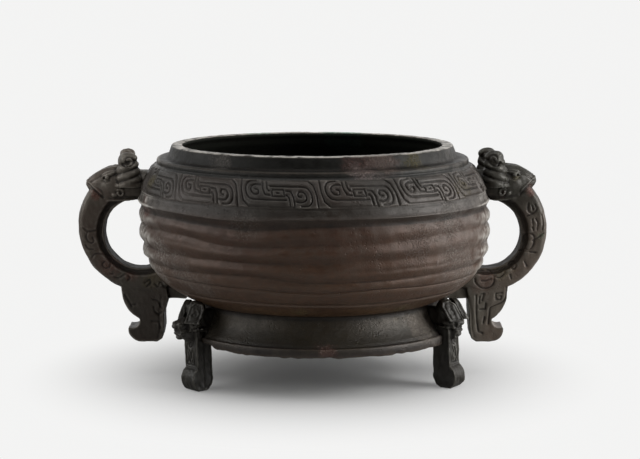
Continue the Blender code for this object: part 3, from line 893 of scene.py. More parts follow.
def handle(name, side, lines, worn, seed, material):
    """One handle, made as the right one and turned over for the left."""
    shapes = [lofted("loop", loop_sections())]
    shapes.append(slab("pendant", pendant_outline(side), 12.4, 1.4))
    shapes.append(slab("strut", STRUT, 10.0, 1.2))
    shapes += head_shapes(HORNS[side], HEAD_RAISED[side])
    obj = fused(name, shapes, HANDLE_GRAIN, 2)
    places = corners(obj)
    below = fade(places[:, 2], HEAD_LOW, -2) * (places[:, 0] > BOWL_CLEAR)
    for drawn, width, depth in ((lines, 0.68, 0.85 * worn), ([PENDANT_BORDER], 0.8, 0.45)):
        cut(obj, places[:, [0, 2]], facing(obj, 1) * below, drawn, width, depth, 1)
    carve_head(obj, HORNS[side], HEAD_RAISED[side])
    places = corners(obj)
    # Painted shade: where the skin faces the loop's centre, the bore is darkened through the relief attribute
    inwards = np.array((LOOP_INNER[0], 0.0, LOOP_INNER[1])) - places
    inwards[:, 1] = 0
    off = np.linalg.norm(inwards, axis=1)
    bore = np.einsum("ij,ij->i", inwards, outward(obj)) / off
    shade = BORE_SHADE * fade(bore, 0.45, 0.3) * (off < BORE_REACH) * (places[:, 0] > BOWL_CLEAR)
    rough = 0.06 * lumps(places, 2.6, seed) + 0.14 * lumps(places, 7.0, seed + 1) - 0.06
    places = places + outward(obj) * rough[:, None]
    places[:, 0] *= side
    place_corners(obj, lean(places, 0.0))
    if side < 0:
        edit_all(obj, bpy.ops.mesh.flip_normals)
    return finish_piece(obj, material, shade)


# ---------------------------------------------------------------- legs

LEG_TURNS = {"left": -57.5, "right": 64.0, "back": 183.0}
SNOUT_REACH = {"left": 120.8, "right": 116.0, "back": 118.0}
LEG_HALF = 7.4
LEG_STEP = {"left": 1.2, "right": 0.3, "back": 0.8}
# How far the shaft is turned on its own axis and its outer face moved out, and how far out the mask stands
SHAFT_TWIST = {"left": 9.0, "right": -7.0, "back": 0.0}
SHAFT_AXIS = 103.0
SHAFT_OUT = {"left": 0.8, "right": 1.4, "back": 0.0}
MASK_OUT = 2.6
# The mask begins at this height, and its face lies within this distance out
MASK_LOW = 43.0
FACE_OUT = 113
SHAFT_INNER = ((96.6, 37.0, 0.0), (96.6, 11.0, 2.4), (102.0, 0.0, 0.0))
SHAFT_OUTER = ((109.4, 0.0, 4.4), (109.2, 16.4, 0.0))
SHAFT_TOP = ((109.2, 46.0), (100.0, 46.0), (100.0, 37.0))
# The mask's block: how far out its back and front are, and its top's height at four distances out
MASK_BACK = 89.5
MASK_FRONT = 107.6 + 3.2
MASK_TOPS = ((89.5, 100.0, 107.6, 110.9), (58.6, 58.0, 53.4, 49.5))
MASK_HALF = 8.2
SNOUT_HALF = 5.4
EAR_OUTLINE = ((-0.5, 0.0), (0.5, 0.0), (0.5, 0.82), (0.22, 1.0), (-0.3, 0.94), (-0.5, 0.74))
EAR_SIZE = (11.4, 4.4, 14.6)
EAR_FOOT = {"left": (109.0, 8.2), "right": (112.6, 7.2), "back": (108.4, 7.4)}
EAR_LOW = 50.3
EAR_TURN = 45.0
EAR_LEAN = {"left": 0.45, "right": 0.58, "back": 0.46}


def shaft_outline():
    outline = arc(SHAFT_INNER[0], SHAFT_INNER[1], 0.0, 1)
    outline += arc(SHAFT_INNER[1], SHAFT_INNER[2], 2.4, 9) + [SHAFT_INNER[2][:2]]
    outline += arc(SHAFT_OUTER[0], SHAFT_OUTER[1], 4.4, 14) + [SHAFT_OUTER[1][:2]]
    return outline + list(SHAFT_TOP)


def leg_ear(side, leg_side):
    """A standing ear that leans in towards the bowl, with its outline and a curl cut into its outer face."""
    width, thick, tall = EAR_SIZE
    outline = [(across * width, up * tall) for across, up in EAR_OUTLINE]
    obj = fused("ear", [slab("ear", outline, thick / 2, 0.7)], 0.3, 1)
    rim = [(x * 0.66, 1.4 + z * 0.82) for x, z in outline]
    curl = scroll((0.0, 6.6), 1.9, 0.5, 90, 1.2)
    spots = corners(obj)[:, [0, 2]]
    cut(obj, spots, facing(obj, 1), [rim + rim[:1], curl], 0.55, 0.6)
    turn = Matrix.Rotation(math.radians(-side * EAR_TURN), 3, "Z")
    out, across = EAR_FOOT[leg_side]
    slope = EAR_LEAN[leg_side]
    moved = []
    for point in corners(obj):
        spot = turn @ Vector(point)
        moved.append((spot.x + out - slope * point[2], spot.y + side * across, point[2] + EAR_LOW))
    place_corners(obj, moved)
    return obj


def leg_snout(reach):
    """An upturned snout: a nose knob, nostril curls, a mouth, a jaw, and cheeks under the ears."""
    nose = reach - 3.4
    outline = [(104.0, 55.0), (110.0, 53.0), (nose, 51.0), (reach - 2.0, 47.4), (nose, 45.6),
               (nose - 1.2, 43.8), (nose + 0.4, 42.2), (nose - 2.0, 39.4), (111.0, 37.2), (108.6, 36.0),
               (104.0, 39.0)]
    shapes = [
        slab("snout", outline, SNOUT_HALF - 0.3, 1.8), ball("nose", (nose, 0.0, 48.2), (3.4, 3.8, 2.7)),
        ball("crown", (101.0, 0.0, 56.5), (6.8, 7.4, 8.8)),
        ball("chin", (nose - 3.0, 0.0, 40.6), (3.6, 4.6, 2.4), 25),
    ]
    for side in (-1, 1):
        collar = [(100.0, side * 8.6, 45.6), (106.6, side * 8.7, 45.4), (110.4, side * 6.6, 45.0)]
        shapes += [
            knob("nostril", side, (nose - 1.2, 3.6, 49.2), (2.5, 2.3, 2.1)),
            knob("lip", side, (nose - 3.0, 4.4, 44.9), (3.0, 2.0, 1.5), 20),
            knob("eye", side, (109.0, 6.0, 51.2), (2.2, 2.1, 1.9)),
            knob("cheek", side, (106.6, 7.4, 48.6), (4.6, 3.0, 2.6)),
            cord("collar", collar, 1.1),
        ]
    return shapes


def front_lines(seed):
    """Down the leg's outer face: a square curl, a round one, and long tongues."""
    swing = 0.5 if seed % 2 else -0.5
    square = [(2.6, 41.6), (-2.6, 41.6), (-2.6, 36.4), (2.4, 36.4), (2.4, 39.8), (-0.6, 39.8), (-0.6, 38.2)]
    return [
        square, scroll((0.2 + swing, 33.0), 2.2, 0.7, 60, 1.3),
        flowing([(-2.8, 33.6), (-3.0, 29.0), (-1.4, 25.0), (-2.4, 20.6)]),
        flowing([(2.9, 34.6), (2.6, 29.6), (1.0, 25.4), (2.6, 20.2)]),
        flowing([(-0.4, 29.6), (0.9, 26.0), (0.0, 22.0), (1.0, 19.4)]), [(-2.9, 18.6), (2.9, 18.6)],
        [(-4.3, 43.0), (-4.3, 18.6)], [(4.3, 43.0), (4.3, 18.6)],
    ]


def mask_sections():
    """The mask's block: wide at the face, and drawn in towards the foot's wall behind it."""
    low = MASK_BACK - MASK_OUT
    sections = []
    for step in range(13):
        share = step / 12
        out = low + (MASK_FRONT - low) * share
        top = float(np.interp(out, *MASK_TOPS))
        under = 43.6 + 2.6 * (1 - share)
        half = MASK_HALF * (0.5 + 0.5 * math.sin(math.pi * 0.5 * min(share * 1.1, 1.0)) ** 1.5)
        sections.append(rounded_ring(out, half, top, under, 24, (0.55, 0.6)))
    return sections


def leg(name, side, seed, material):
    reach = SNOUT_REACH[side]
    shaft = slab("shaft", shaft_outline(), LEG_HALF, 1.9)
    twist = np.array(Matrix.Rotation(math.radians(SHAFT_TWIST[side]), 3, "Z"))
    axis = np.array((SHAFT_AXIS, 0.0, 0.0))
    stretched = corners(shaft)
    stretched[:, 0] += SHAFT_OUT[side] * fade(stretched[:, 0], 104, 4)
    place_corners(shaft, (stretched - axis) @ twist.T + axis)
    shapes = [lofted("mask", mask_sections())] + leg_snout(reach) + [leg_ear(-1, side), leg_ear(1, side)]
    for shape in shapes:
        place_corners(shape, corners(shape) + (MASK_OUT, 0.0, 0.0))
    obj = fused(name, [shaft] + shapes, LEG_GRAIN, 2)
    places = corners(obj)
    front = fade(outward(obj)[:, 0], 0.35, 0.4) * (places[:, 2] < MASK_LOW + 0.5)
    front *= places[:, 0] < FACE_OUT
    cut(obj, places[:, [1, 2]], front, front_lines(seed), 0.62, 1.0)
    flank = facing(obj, 1) * (places[:, 2] < MASK_LOW) * (places[:, 2] > 1.5)
    swell(obj, -fade(places[:, 0], 103.8, -2.4) * flank * LEG_STEP[side])
    mask = (places[:, 2] > MASK_LOW) * (places[:, 0] < FACE_OUT + MASK_OUT)
    brows = [flowing([(104.5, 53.6), (108.6, 52.4), (111.4, 49.6)]), [(101.0, 47.4), (109.0, 47.0)]]
    cut(obj, places[:, [0, 2]], facing(obj, 1) * mask, brows, 0.6, 0.5)
    places = corners(obj)
    rough = 0.13 * lumps(places, 2.2, seed) + 0.16 * lumps(places, 6.0, seed + 1)
    rough *= fade(places[:, 2], 0, 2.0)
    places = places + outward(obj) * rough[:, None]
    spin = np.array(Matrix.Rotation(math.radians(LEG_TURNS[side] - 90), 3, "Z"))
    places = places @ spin.T
    places[:, 2] = np.maximum(places[:, 2], 0.0)
    place_corners(obj, lean(places))
    return finish_piece(obj, material)


# ---------------------------------------------------------------- bronze


def feed(node, values):
    """Gives a node's inputs numbers, colours or other nodes' outputs, by name or number."""
    for key, value in values.items():
        socket = node.inputs[key]
        if isinstance(value, bpy.types.NodeSocket):
            socket.id_data.links.new(value, socket)
        elif isinstance(value, tuple):
            socket.default_value = (*value, 1.0)[:len(socket.default_value)]
        else:
            socket.default_value = value


def add(tree, kind, values=None, **settings):
    node = tree.nodes.new(kind)
    for key, value in settings.items():
        setattr(node, key, value)
    feed(node, values or {})
    return node


def new_material(name):
    material = bpy.data.materials.new(name)
    material.use_nodes = True
    return material, material.node_tree, material.node_tree.nodes["Principled BSDF"]


def new_group(name, inputs, build):
    """A node group over a Vector and other inputs. `build` gives its outputs, which are numbers, by name."""
    tree = bpy.data.node_groups.new(name, "ShaderNodeTree")
    for label, value in {"Vector": None, **inputs}.items():
        kind = "NodeSocketVector" if value is None else "NodeSocketFloat"
        socket = tree.interface.new_socket(label, in_out="INPUT", socket_type=kind)
        if value is not None:
            socket.default_value = value
    entry = tree.nodes.new("NodeGroupInput")
    leave = tree.nodes.new("NodeGroupOutput")
    for label, result in build(entry.outputs).items():
        tree.interface.new_socket(label, in_out="OUTPUT", socket_type="NodeSocketFloat")
        feed(leave, {label: result})
    return tree


def noise(vector, scale, detail, rough):
    values = {"Vector": vector, "Scale": scale, "Detail": detail, "Roughness": rough}
    return add(vector.id_data, "ShaderNodeTexNoise", values).outputs["Fac"]


def spread(value, values):
    """A value carried evenly from one range to another."""
    return add(value.id_data, "ShaderNodeMapRange", {"Value": value, **values}).outputs["Result"]


def ramp(value, low, high):
    """0 below `low`, 1 above `high`, and smooth between."""
    values = {"Value": value, "From Min": low, "From Max": high}
    node = add(value.id_data, "ShaderNodeMapRange", values, interpolation_type="SMOOTHSTEP")
    return node.outputs["Result"]


def worked(operation, first, second):
    return add(first.id_data, "ShaderNodeMath", {0: first, 1: second}, operation=operation).outputs[0]


def plus(first, second):
    return worked("ADD", first, second)


def minus(first, second):
    return worked("SUBTRACT", first, second)


def times(first, *others):
    for other in others:
        first = worked("MULTIPLY", first, other)
    return first


def mixed(factor, first, second):
    values = {"Factor": factor, 6: first, 7: second}
    return add(factor.id_data, "ShaderNodeMix", values, data_type="RGBA").outputs[2]


def parts(vector):
    return add(vector.id_data, "ShaderNodeSeparateXYZ", {0: vector}).outputs


def length(vector):
    return add(vector.id_data, "ShaderNodeVectorMath", {0: vector}, operation="LENGTH").outputs["Value"]


def patina(entry):
    """Where an old casting's surface changes: broad clouds, level streaks, fine mottling and pits."""
    vector = entry["Vector"]
    level = add(vector.id_data, "ShaderNodeMapping", {"Vector": vector, "Scale": (1.0, 1.0, 5.0)})
    streaks = noise(level.outputs["Vector"], 42.0, 5.0, 0.62)
    clouds = noise(vector, entry["Cloud Size"], 5.0, 0.5)
    cells = add(vector.id_data, "ShaderNodeTexVoronoi", {"Vector": vector, "Scale": 420.0})
    pits = ramp(cells.outputs["Distance"], 0.34, 0.12)
    return {
        "Clouds": ramp(clouds, 0.36, 0.66), "Streaks": ramp(streaks, 0.38, 0.64),
        "Mottle": ramp(noise(vector, 190.0, 5.0, 0.65), 0.35, 0.68),
        "Pits": times(pits, ramp(noise(vector, 60.0, 3.0, 0.6), 0.5, 0.62)),
    }


def wear_dirt_and_light(entry):
    """Relief, broken up: bright where hands rub the high parts, which also paints a highlight on them, and
    dark where dirt lies in the low ones, which also paints shade in the hollows.
    """
    uneven = times(noise(entry["Vector"], 130.0, 4.0, 0.6), 0.22)
    level = plus(entry["Relief"], minus(uneven, 0.11))
    return {"Wear and Highlight": ramp(level, 0.60, 0.95), "Dirt and Shade": ramp(level, 0.45, 0.14), "Level": level}


def spot(entry):
    """A ragged corrosion patch about a centre: Body is its whole area, Grains the crumbs of crust in it."""
    vector = entry["Vector"]
    values = {0: vector, 1: entry["Centre"]}
    shifted = add(vector.id_data, "ShaderNodeVectorMath", values, operation="SUBTRACT").outputs[0]
    far = worked("DIVIDE", length(shifted), entry["Radius"])
    ragged = times(minus(noise(vector, 95.0, 5.0, 0.7), 0.5), 2.2)
    body = ramp(plus(far, ragged), 1.0, 0.25)
    crumbs = ramp(noise(vector, 620.0, 4.0, 0.75), 0.46, 0.64)
    return {"Body": body, "Grains": times(body, crumbs)}


def by_height(place, tones):
    """Colour by height: tones are (height in mm, colour) from the bottom up."""
    share = worked("DIVIDE", parts(place)["Z"], HEIGHT * MM)
    blend = add(place.id_data, "ShaderNodeValToRGB", {"Fac": share})
    blend.color_ramp.interpolation = "EASE"
    elements = blend.color_ramp.elements
    while len(elements) < len(tones):
        elements.new(1.0)
    while len(elements) > len(tones):
        elements.remove(elements[-1])
    for element, (level, colour) in zip(elements, tones):
        element.position = level / HEIGHT
        element.color = (*colour, 1.0)
    return blend.outputs["Color"]


def crust_over(colour, reach, stretches, where):
    """Pale colour that sets in along an axis: crust, and on the bowl's sides and lip also a painted highlight
    and sheen. Stretches are (axis, from and to in mm, amount, colour).
    """
    for axis, first, last, amount, tint in stretches:
        side = ramp(reach[axis], first * MM, last * MM)
        colour = mixed(times(side, where, amount), colour, tint)
    return colour


def bronze(name, tones, clouds, mottle, worn, patches=(), streaks=0.0, pale=(), crusted=(),
           gloss=(0.40, 0.64), bump=0.0004, dirt_and_shade_amount=0.88, shine=0.42, dull=None):
    """A finished dark bronze. Its own, its clouds' and its mottling's colours are tones by height. Patches
    are (centre in mm, radius in mm, colour, whole area, grains): the last two say how far the patch's body
    and its crumbs cover the metal. Pale crust sets in everywhere in `pale`, and on the high parts only in
    `crusted`; on the bowl both also paint a highlight and sheen along its sides and lip. `worn` colours the
    rubbed high parts and also serves there as a painted highlight, and the low parts darken with dirt and
    painted shade. `dull` is (from, to), in mm up: over it the shine drops to DULLED of itself."""
    material, tree, shader = new_material(name)
    place = add(tree, "ShaderNodeTexCoord").outputs["Object"]
    reach = parts(place)
    relief = add(tree, "ShaderNodeAttribute", attribute_name="relief").outputs["Fac"]
    values = {"Vector": place, "Cloud Size": CLOUD_SIZE}
    metal = add(tree, "ShaderNodeGroup", values, node_tree=PATINA).outputs
    values = {"Vector": place, "Relief": relief}
    worn_dirty_and_lit = add(tree, "ShaderNodeGroup", values, node_tree=WEAR_DIRT_AND_LIGHT).outputs
    colour = mixed(times(metal["Clouds"], CLOUDED), by_height(place, tones), by_height(place, clouds))
    dark = tuple(value * STREAK_DARK for value in tones[0][1])
    colour = mixed(times(metal["Streaks"], streaks), colour, dark)
    colour = mixed(times(metal["Mottle"], MOTTLED), colour, by_height(place, mottle))
    height = plus(times(noise(place, 560.0, 6.0, 0.7), 0.7), noise(place, 170.0, 4.0, 0.6))
    height = minus(height, times(metal["Pits"], PIT_DEPTH))
    colour = crust_over(colour, reach, pale, ramp(noise(place, 120.0, 5.0, 0.7), 0.34, 0.6))
    for centre, radius, tint, whole, grains in patches:
        values = {"Vector": place, "Centre": tuple(value * MM for value in centre), "Radius": radius * MM}
        patch = add(tree, "ShaderNodeGroup", values, node_tree=SPOT).outputs
        colour = mixed(plus(times(patch["Body"], whole), times(patch["Grains"], grains)), colour, tint)
        height = plus(height, times(patch["Grains"], GRAIN_RISE))
    # Dirt and painted shade darken the low parts; wear and a painted highlight lighten the high ones
    colour = mixed(times(worn_dirty_and_lit["Dirt and Shade"], dirt_and_shade_amount), colour, DIRT_AND_SHADE)
    colour = mixed(times(worn_dirty_and_lit["Wear and Highlight"], WEAR_AND_HIGHLIGHT), colour, worn)
    colour = crust_over(colour, reach, crusted, ramp(worn_dirty_and_lit["Level"], 0.46, 0.72))
    level = plus(times(metal["Mottle"], 0.6), times(worn_dirty_and_lit["Dirt and Shade"], 0.5))
    level = minus(level, times(worn_dirty_and_lit["Wear and Highlight"], 0.25))
    if dull:
        low, high = (value * MM for value in dull)
        span = {"From Min": low, "From Max": high, "To Min": shine, "To Max": shine * DULLED}
        shine = spread(reach["Z"], span)
    surface = add(tree, "ShaderNodeBump", {"Strength": 0.8, "Distance": bump, "Height": height})
    feed(shader, {
        "Base Color": colour, "Roughness": spread(level, {"To Min": gloss[0], "To Max": gloss[1]}),
        "Metallic": METALLIC, "Specular IOR Level": shine, "Normal": surface.outputs["Normal"],
    })
    return material


PATINA = new_group("patina", {"Cloud Size": 22.0}, patina)
WEAR_DIRT_AND_LIGHT = new_group("wear_dirt_and_light", {"Relief": 0.5}, wear_dirt_and_light)
SPOT = new_group("spot", {"Centre": None, "Radius": 0.01}, spot)

CLOUD_SIZE = 22.0
CLOUDED = 0.7
MOTTLED = 0.42
STREAK_DARK = 0.42
WEAR_AND_HIGHLIGHT = 0.5
PIT_DEPTH = 0.6
GRAIN_RISE = 1.1
DULLED = 0.4
DIRT_AND_SHADE = (0.009, 0.0065, 0.0045)
METALLIC = 0.25
GREEN = (0.07, 0.19, 0.13)
LEAF = (0.085, 0.14, 0.075)
OLIVE = (0.15, 0.125, 0.05)
CUPRITE = (0.13, 0.045, 0.03)
DUST = (0.23, 0.20, 0.17)
CRUST = (0.34, 0.31, 0.28)
CHALK_AND_HIGHLIGHT = (0.60, 0.57, 0.52)
ROSE = (0.34, 0.27, 0.25)
VERDIGRIS = (0.18, 0.37, 0.28)
RUSSET = (0.105, 0.072, 0.060)
# Painted light: a pale grey-brown that lightens the foot's wall where it lies in shade
PAINTED_LIGHT_GREIGE = (0.12, 0.105, 0.08)

BOWL_TONES = (
    (32.0, (0.009, 0.006, 0.005)), (39.0, (0.013, 0.010, 0.008)), (42.0, (0.034, 0.029, 0.021)),
    (57.0, (0.045, 0.034, 0.021)), (62.0, (0.150, 0.083, 0.040)), (72.0, (0.090, 0.047, 0.026)),
    (122.0, (0.068, 0.035, 0.021)), (138.0, (0.030, 0.024, 0.019)), (162.0, (0.013, 0.013, 0.011)),
    (165.0, (0.009, 0.009, 0.0078)),
)
BOWL_CLOUDS = (
    (32.0, (0.012, 0.006, 0.004)), (40.0, (0.030, 0.024, 0.015)), (57.0, (0.038, 0.028, 0.017)),
    (62.0, (0.078, 0.038, 0.019)), (122.0, (0.054, 0.023, 0.013)), (138.0, (0.026, 0.018, 0.013)),
    (162.0, (0.014, 0.013, 0.011)), (165.0, (0.009, 0.0085, 0.007)),
)
BOWL_MOTTLE = (
    (32.0, (0.016, 0.013, 0.011)), (57.0, (0.034, 0.031, 0.023)), (62.0, (0.060, 0.044, 0.032)),
    (122.0, (0.060, 0.044, 0.032)), (138.0, (0.036, 0.032, 0.026)), (162.0, (0.025, 0.024, 0.021)),
    (165.0, (0.018, 0.0175, 0.015)),
)
# Pale crust towards the bowl's sides, which also paints the grey sheen those sides catch, and a pale band
# along the lip's top, crust and painted highlight together
BOWL_PALE_AND_SHEEN = (
    ("X", 62.0, 118.0, 0.18, CRUST), ("X", -90.0, -128.0, 0.28, CRUST), ("X", 108.0, 132.0, 0.2, CRUST),
    ("Z", 173.15, 173.6, 0.9, (0.58, 0.55, 0.50)),
)
# Chalky crust on the high parts near the bowl's left and right edges, also a painted highlight where those
# edges catch the light
BOWL_CRUST_AND_HIGHLIGHT = (("X", -109.0, -122.0, 0.95, CHALK_AND_HIGHLIGHT), ("X", 115.0, 127.0, 0.8, CHALK_AND_HIGHLIGHT))
# The chalk patches near the bowl's left and right edges are crust and a painted highlight together
BOWL_PATCHES = (
    ((24.0, 100.0, 182.0), 24.0, VERDIGRIS, 0.72, 0.3), ((-44.0, 92.0, 182.0), 20.0, VERDIGRIS, 0.66, 0.3),
    ((71.0, -80.0, 169.0), 12.0, OLIVE, 0.12, 0.5), ((32.0, -101.0, 168.0), 17.0, CUPRITE, 0.12, 0.2),
    ((48.0, -95.0, 169.0), 18.0, RUSSET, 0.4, 0.45), ((36.0, -110.0, 162.0), 15.0, ROSE, 0.14, 0.35),
    ((-62.0, -86.0, 168.0), 13.0, CRUST, 0.1, 0.25), ((-9.0, -104.0, 62.0), 9.0, OLIVE, 0.15, 0.5),
    ((62.0, -80.0, 62.0), 11.0, OLIVE, 0.2, 0.5), ((-72.0, -62.0, 58.0), 9.0, OLIVE, 0.3, 0.5),
    ((-120.0, -42.0, 129.0), 12.0, CUPRITE, 0.45, 0.3), ((10.0, -104.0, 37.5), 11.0, CUPRITE, 0.3, 0.15),
    ((-108.0, -68.0, 102.0), 14.0, CHALK_AND_HIGHLIGHT, 0.0, 0.5), ((-92.0, -82.0, 92.0), 18.0, CRUST, 0.08, 0.34),
    ((-74.0, -92.0, 82.0), 16.0, CRUST, 0.08, 0.18), ((94.0, -86.0, 128.0), 19.0, CRUST, 0.0, 0.45),
    ((72.0, -104.0, 112.0), 18.0, DUST, 0.0, 0.3), ((100.0, -78.0, 98.0), 22.0, CRUST, 0.0, 0.4),
    ((-48.0, -122.0, 128.0), 14.0, DUST, 0.0, 0.4), ((80.0, -58.0, 48.0), 18.0, DUST, 0.5, 0.3),
    ((110.0, -60.0, 86.0), 18.0, CRUST, 0.0, 0.6), ((-124.0, -26.0, 118.0), 20.0, CHALK_AND_HIGHLIGHT, 0.05, 0.75),
    ((-120.0, -30.0, 96.0), 18.0, CHALK_AND_HIGHLIGHT, 0.05, 0.75), ((-106.0, -50.0, 84.0), 16.0, CHALK_AND_HIGHLIGHT, 0.0, 0.6),
    ((128.0, -16.0, 118.0), 20.0, CHALK_AND_HIGHLIGHT, 0.05, 0.7), ((124.0, -20.0, 94.0), 18.0, CHALK_AND_HIGHLIGHT, 0.05, 0.7),
    # The two greige patches on the foot's wall beside the front legs are painted light: they lighten the
    # shade behind the masks
    ((-76.0, -54.0, 47.0), 15.0, PAINTED_LIGHT_GREIGE, 0.75, 0.0), ((85.0, -36.0, 47.0), 15.0, PAINTED_LIGHT_GREIGE, 0.75, 0.0),
)


# The handles are one bronze, toned part by part to how bright each looks, so their difference is partly
# painted light and shade: the right pendant's paler tone stands for light falling on it from the right
RIGHT_TONES = ((0.126, 0.111, 0.089), (0.090, 0.079, 0.063), (0.027, 0.0255, 0.019))
RIGHT_PATCHES = (
    ((169.0, -8.0, 105.0), 6.0, LEAF, 0.35, 0.4), ((162.0, -12.0, 140.0), 6.0, CUPRITE, 0.5, 0.3),
    ((140.0, -14.0, 138.0), 4.0, CUPRITE, 0.4, 0.3), ((128.0, -13.0, 73.0), 12.0, CUPRITE, 0.3, 0.2),
    ((142.0, -13.0, 79.0), 9.0, OLIVE, 0.15, 0.3), ((150.0, -14.0, 150.0), 4.0, OLIVE, 0.2, 0.4),
)
LEFT_TONES = ((0.037, 0.032, 0.025), (0.068, 0.059, 0.047), (0.078, 0.069, 0.055))
LEFT_PATCHES = (
    ((-160.0, -12.0, 137.0), 6.0, CUPRITE, 0.5, 0.3), ((-118.0, -12.0, 73.0), 10.0, OLIVE, 0.15, 0.35),
    ((-150.0, -13.0, 86.0), 13.0, CUPRITE, 0.3, 0.2), ((-136.0, -13.0, 77.0), 7.0, CUPRITE, 0.4, 0.2),
)
BAND_PATCHES = (
    ((-116.0, -46.0, 150.0), 8.0, OLIVE, 0.3, 0.4), ((104.0, -66.0, 146.0), 12.0, OLIVE, 0.1, 0.4),
)
BAND_PALE = (("X", 40.0, 110.0, 0.08, CRUST),)
NECK_DULL = (160.0, 164.0)
INSIDE_PATCHES = (((24.0, 100.0, 172.0), 26.0, GREEN, 0.05, 0.06),)
LEG_PATCHES = (((-94.0, -64.0, 48.0), 4.0, CUPRITE, 0.5, 0.3),)


def even(*colour):
    """One colour at every height."""
    return ((0.0, colour),)


def handle_bronze(name, colours, patches):
    """A handle's bronze, by the colours of its pendant, its loop and its head."""
    tones = tuple(zip((26.0, 108.0, 142.0), colours))
    clouds = tuple((level, (red * 1.05, green * 0.78, blue * 0.72)) for level, (red, green, blue) in tones)
    mottle = tuple((level, tuple(value * 1.35 + 0.004 for value in colour)) for level, colour in tones)
    worn = tuple(value * 2.4 + 0.05 for value in colours[-1])
    return bronze(name, tones, clouds, mottle, worn, patches, bump=0.00025, dirt_and_shade_amount=0.72)


def make_vessel():
    bowl_bronze = bronze("bowl_bronze", BOWL_TONES, BOWL_CLOUDS, BOWL_MOTTLE, (0.15, 0.12, 0.095),
                         BOWL_PATCHES, streaks=0.2, pale=BOWL_PALE_AND_SHEEN, crusted=BOWL_CRUST_AND_HIGHLIGHT, dull=NECK_DULL)
    # The hollow's near-black bronze is dark patina and painted shade, for the shade inside the bowl
    inside_bronze_and_shade = bronze("inside_bronze_and_shade", even(0.0052, 0.0056, 0.0034), even(0.0056, 0.0066, 0.004),
                           even(0.007, 0.0074, 0.005), (0.012, 0.013, 0.009), INSIDE_PATCHES,
                           gloss=(0.75, 0.95), shine=0.2)
    band_tones = ((138.0, (0.032, 0.026, 0.021)), (162.0, (0.029, 0.026, 0.022)))
    band_bronze = bronze("band_bronze", band_tones, even(0.036, 0.024, 0.018), even(0.054, 0.048, 0.040),
                         (0.165, 0.147, 0.127), BAND_PATCHES, pale=BAND_PALE)
    right_bronze = handle_bronze("right_handle_bronze", RIGHT_TONES, RIGHT_PATCHES)
    left_bronze = handle_bronze("left_handle_bronze", LEFT_TONES, LEFT_PATCHES)
    leg_tones = ((0.0, (0.015, 0.014, 0.011)), (65.0, (0.024, 0.021, 0.017)))
    leg_bronze = bronze("leg_bronze", leg_tones, even(0.022, 0.017, 0.012), even(0.044, 0.041, 0.034),
                        (0.134, 0.127, 0.108), LEG_PATCHES, bump=0.0003)
    bowl(bowl_bronze, inside_bronze_and_shade)
    dragon_band("dragon_band_front", 0.0, band_bronze)
    dragon_band("dragon_band_back", 180.0, band_bronze)
    handle("handle_right", 1, RIGHT_LINES, 1.0, 31, right_bronze)
    handle("handle_left", -1, LEFT_LINES, 0.8, 41, left_bronze)
    for number, side in enumerate(LEG_TURNS):
        leg("leg_" + side, side, 51 + number, leg_bronze)


# ---------------------------------------------------------------- table, light and camera

BLACK = (0.0, 0.0, 0.0)
TABLE_WHITE = (0.66, 0.66, 0.655)
TABLE_BOUNCE = (0.42, 0.42, 0.415)
TABLE_SIZE = 60.0
TABLE_GAP = 0.0004
TABLE_NEAR = 0.05
TABLE_FAR = 0.23
BACKGROUND = (0.90, 0.90, 0.895)
ROOM_DARK = (0.03, 0.03, 0.03)
ROOM_BRIGHT = (0.95, 0.95, 0.95)
# Name, place, size and power of each; all are aimed at the middle of the vessel
SOFTBOXES = (
    ("top", (0.0, -0.2, 1.55), (1.9, 1.4), 11.0),
    ("right", (1.28, -0.42, 0.5), (0.8, 0.9), 16.5),
    ("right_back", (1.35, 0.25, 0.6), (0.8, 0.9), 6.0),
    ("left", (-1.15, -0.65, 0.45), (0.7, 0.8), 4.0),
    ("left_back", (-1.35, 0.1, 0.7), (0.7, 0.8), 5.0),
)
AIM = (0.0, 0.0, 0.1)
CAMERA_PLACE = (0.005625, -1.3125, 0.2928)
CAMERA_TILT = 82.034
LENS = 99.4
SENSOR = 36.0


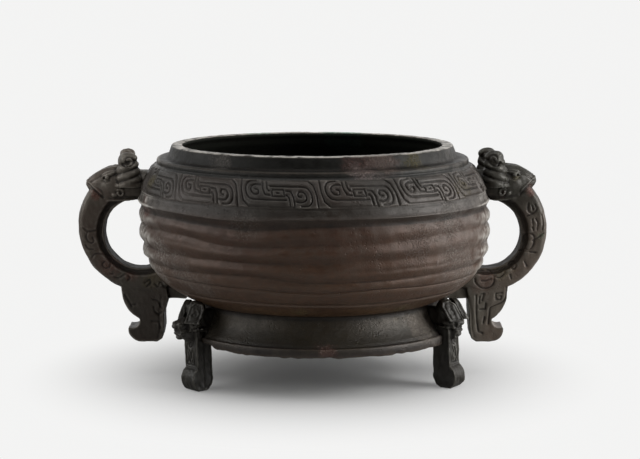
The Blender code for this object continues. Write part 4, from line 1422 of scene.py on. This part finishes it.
def table():
    """A wide white table: it takes the vessel's shadow near by, and glows an even white further off."""
    deselect()
    bpy.ops.mesh.primitive_plane_add(size=TABLE_SIZE)
    floor = named("table")
    edit_all(floor, bpy.ops.mesh.subdivide, number_cuts=5)
    place_corners(floor, corners(floor) + (0, 0, -TABLE_GAP))
    material, tree, shader = new_material("table_white")
    off = ramp(length(add(tree, "ShaderNodeTexCoord").outputs["Object"]), TABLE_NEAR, TABLE_FAR)
    seen = add(tree, "ShaderNodeLightPath").outputs["Is Camera Ray"]
    glow = times(off, seen)
    feed(shader, {
        "Base Color": mixed(glow, mixed(seen, TABLE_BOUNCE, TABLE_WHITE), BLACK),
        "Emission Color": mixed(glow, BLACK, BACKGROUND), "Emission Strength": 1.0,
        "Roughness": 0.8, "Specular IOR Level": 0.0,
    })
    floor.data.materials.append(material)


def placed(name, data, place):
    body = bpy.data.objects.new(name, data)
    bpy.context.scene.collection.objects.link(body)
    body.location = place
    return body


def softbox(name, place, size, power):
    light = bpy.data.lights.new(name, "AREA")
    light.shape = "RECTANGLE"
    light.size, light.size_y = size
    light.energy = power
    lamp = placed(name, light, place)
    lamp.rotation_euler = (Vector(AIM) - Vector(place)).to_track_quat("-Z", "Y").to_euler()


def studio():
    """A white backdrop behind and to the sides, a dark room in front, and softboxes."""
    world = bpy.data.worlds.new("room")
    bpy.context.scene.world = world
    world.use_nodes = True
    tree = world.node_tree
    way = parts(add(tree, "ShaderNodeTexCoord").outputs["Generated"])
    room = mixed(times(ramp(way["Y"], 0.05, 0.95), ramp(way["Z"], 0.9, 0.2)), ROOM_DARK, ROOM_BRIGHT)
    seen = add(tree, "ShaderNodeLightPath").outputs["Is Camera Ray"]
    feed(tree.nodes["Background"], {"Color": mixed(seen, room, BACKGROUND), "Strength": 1.0})
    for lamp in SOFTBOXES:
        softbox(*lamp)
    bpy.context.scene.view_settings.view_transform = "Standard"


def camera():
    data = bpy.data.cameras.new("camera")
    data.lens = LENS
    data.sensor_width = SENSOR
    data.clip_end = 100.0
    body = placed("camera", data, CAMERA_PLACE)
    body.rotation_euler = (math.radians(CAMERA_TILT), 0.0, 0.0)
    bpy.context.scene.camera = body


make_vessel()
table()
studio()
camera()
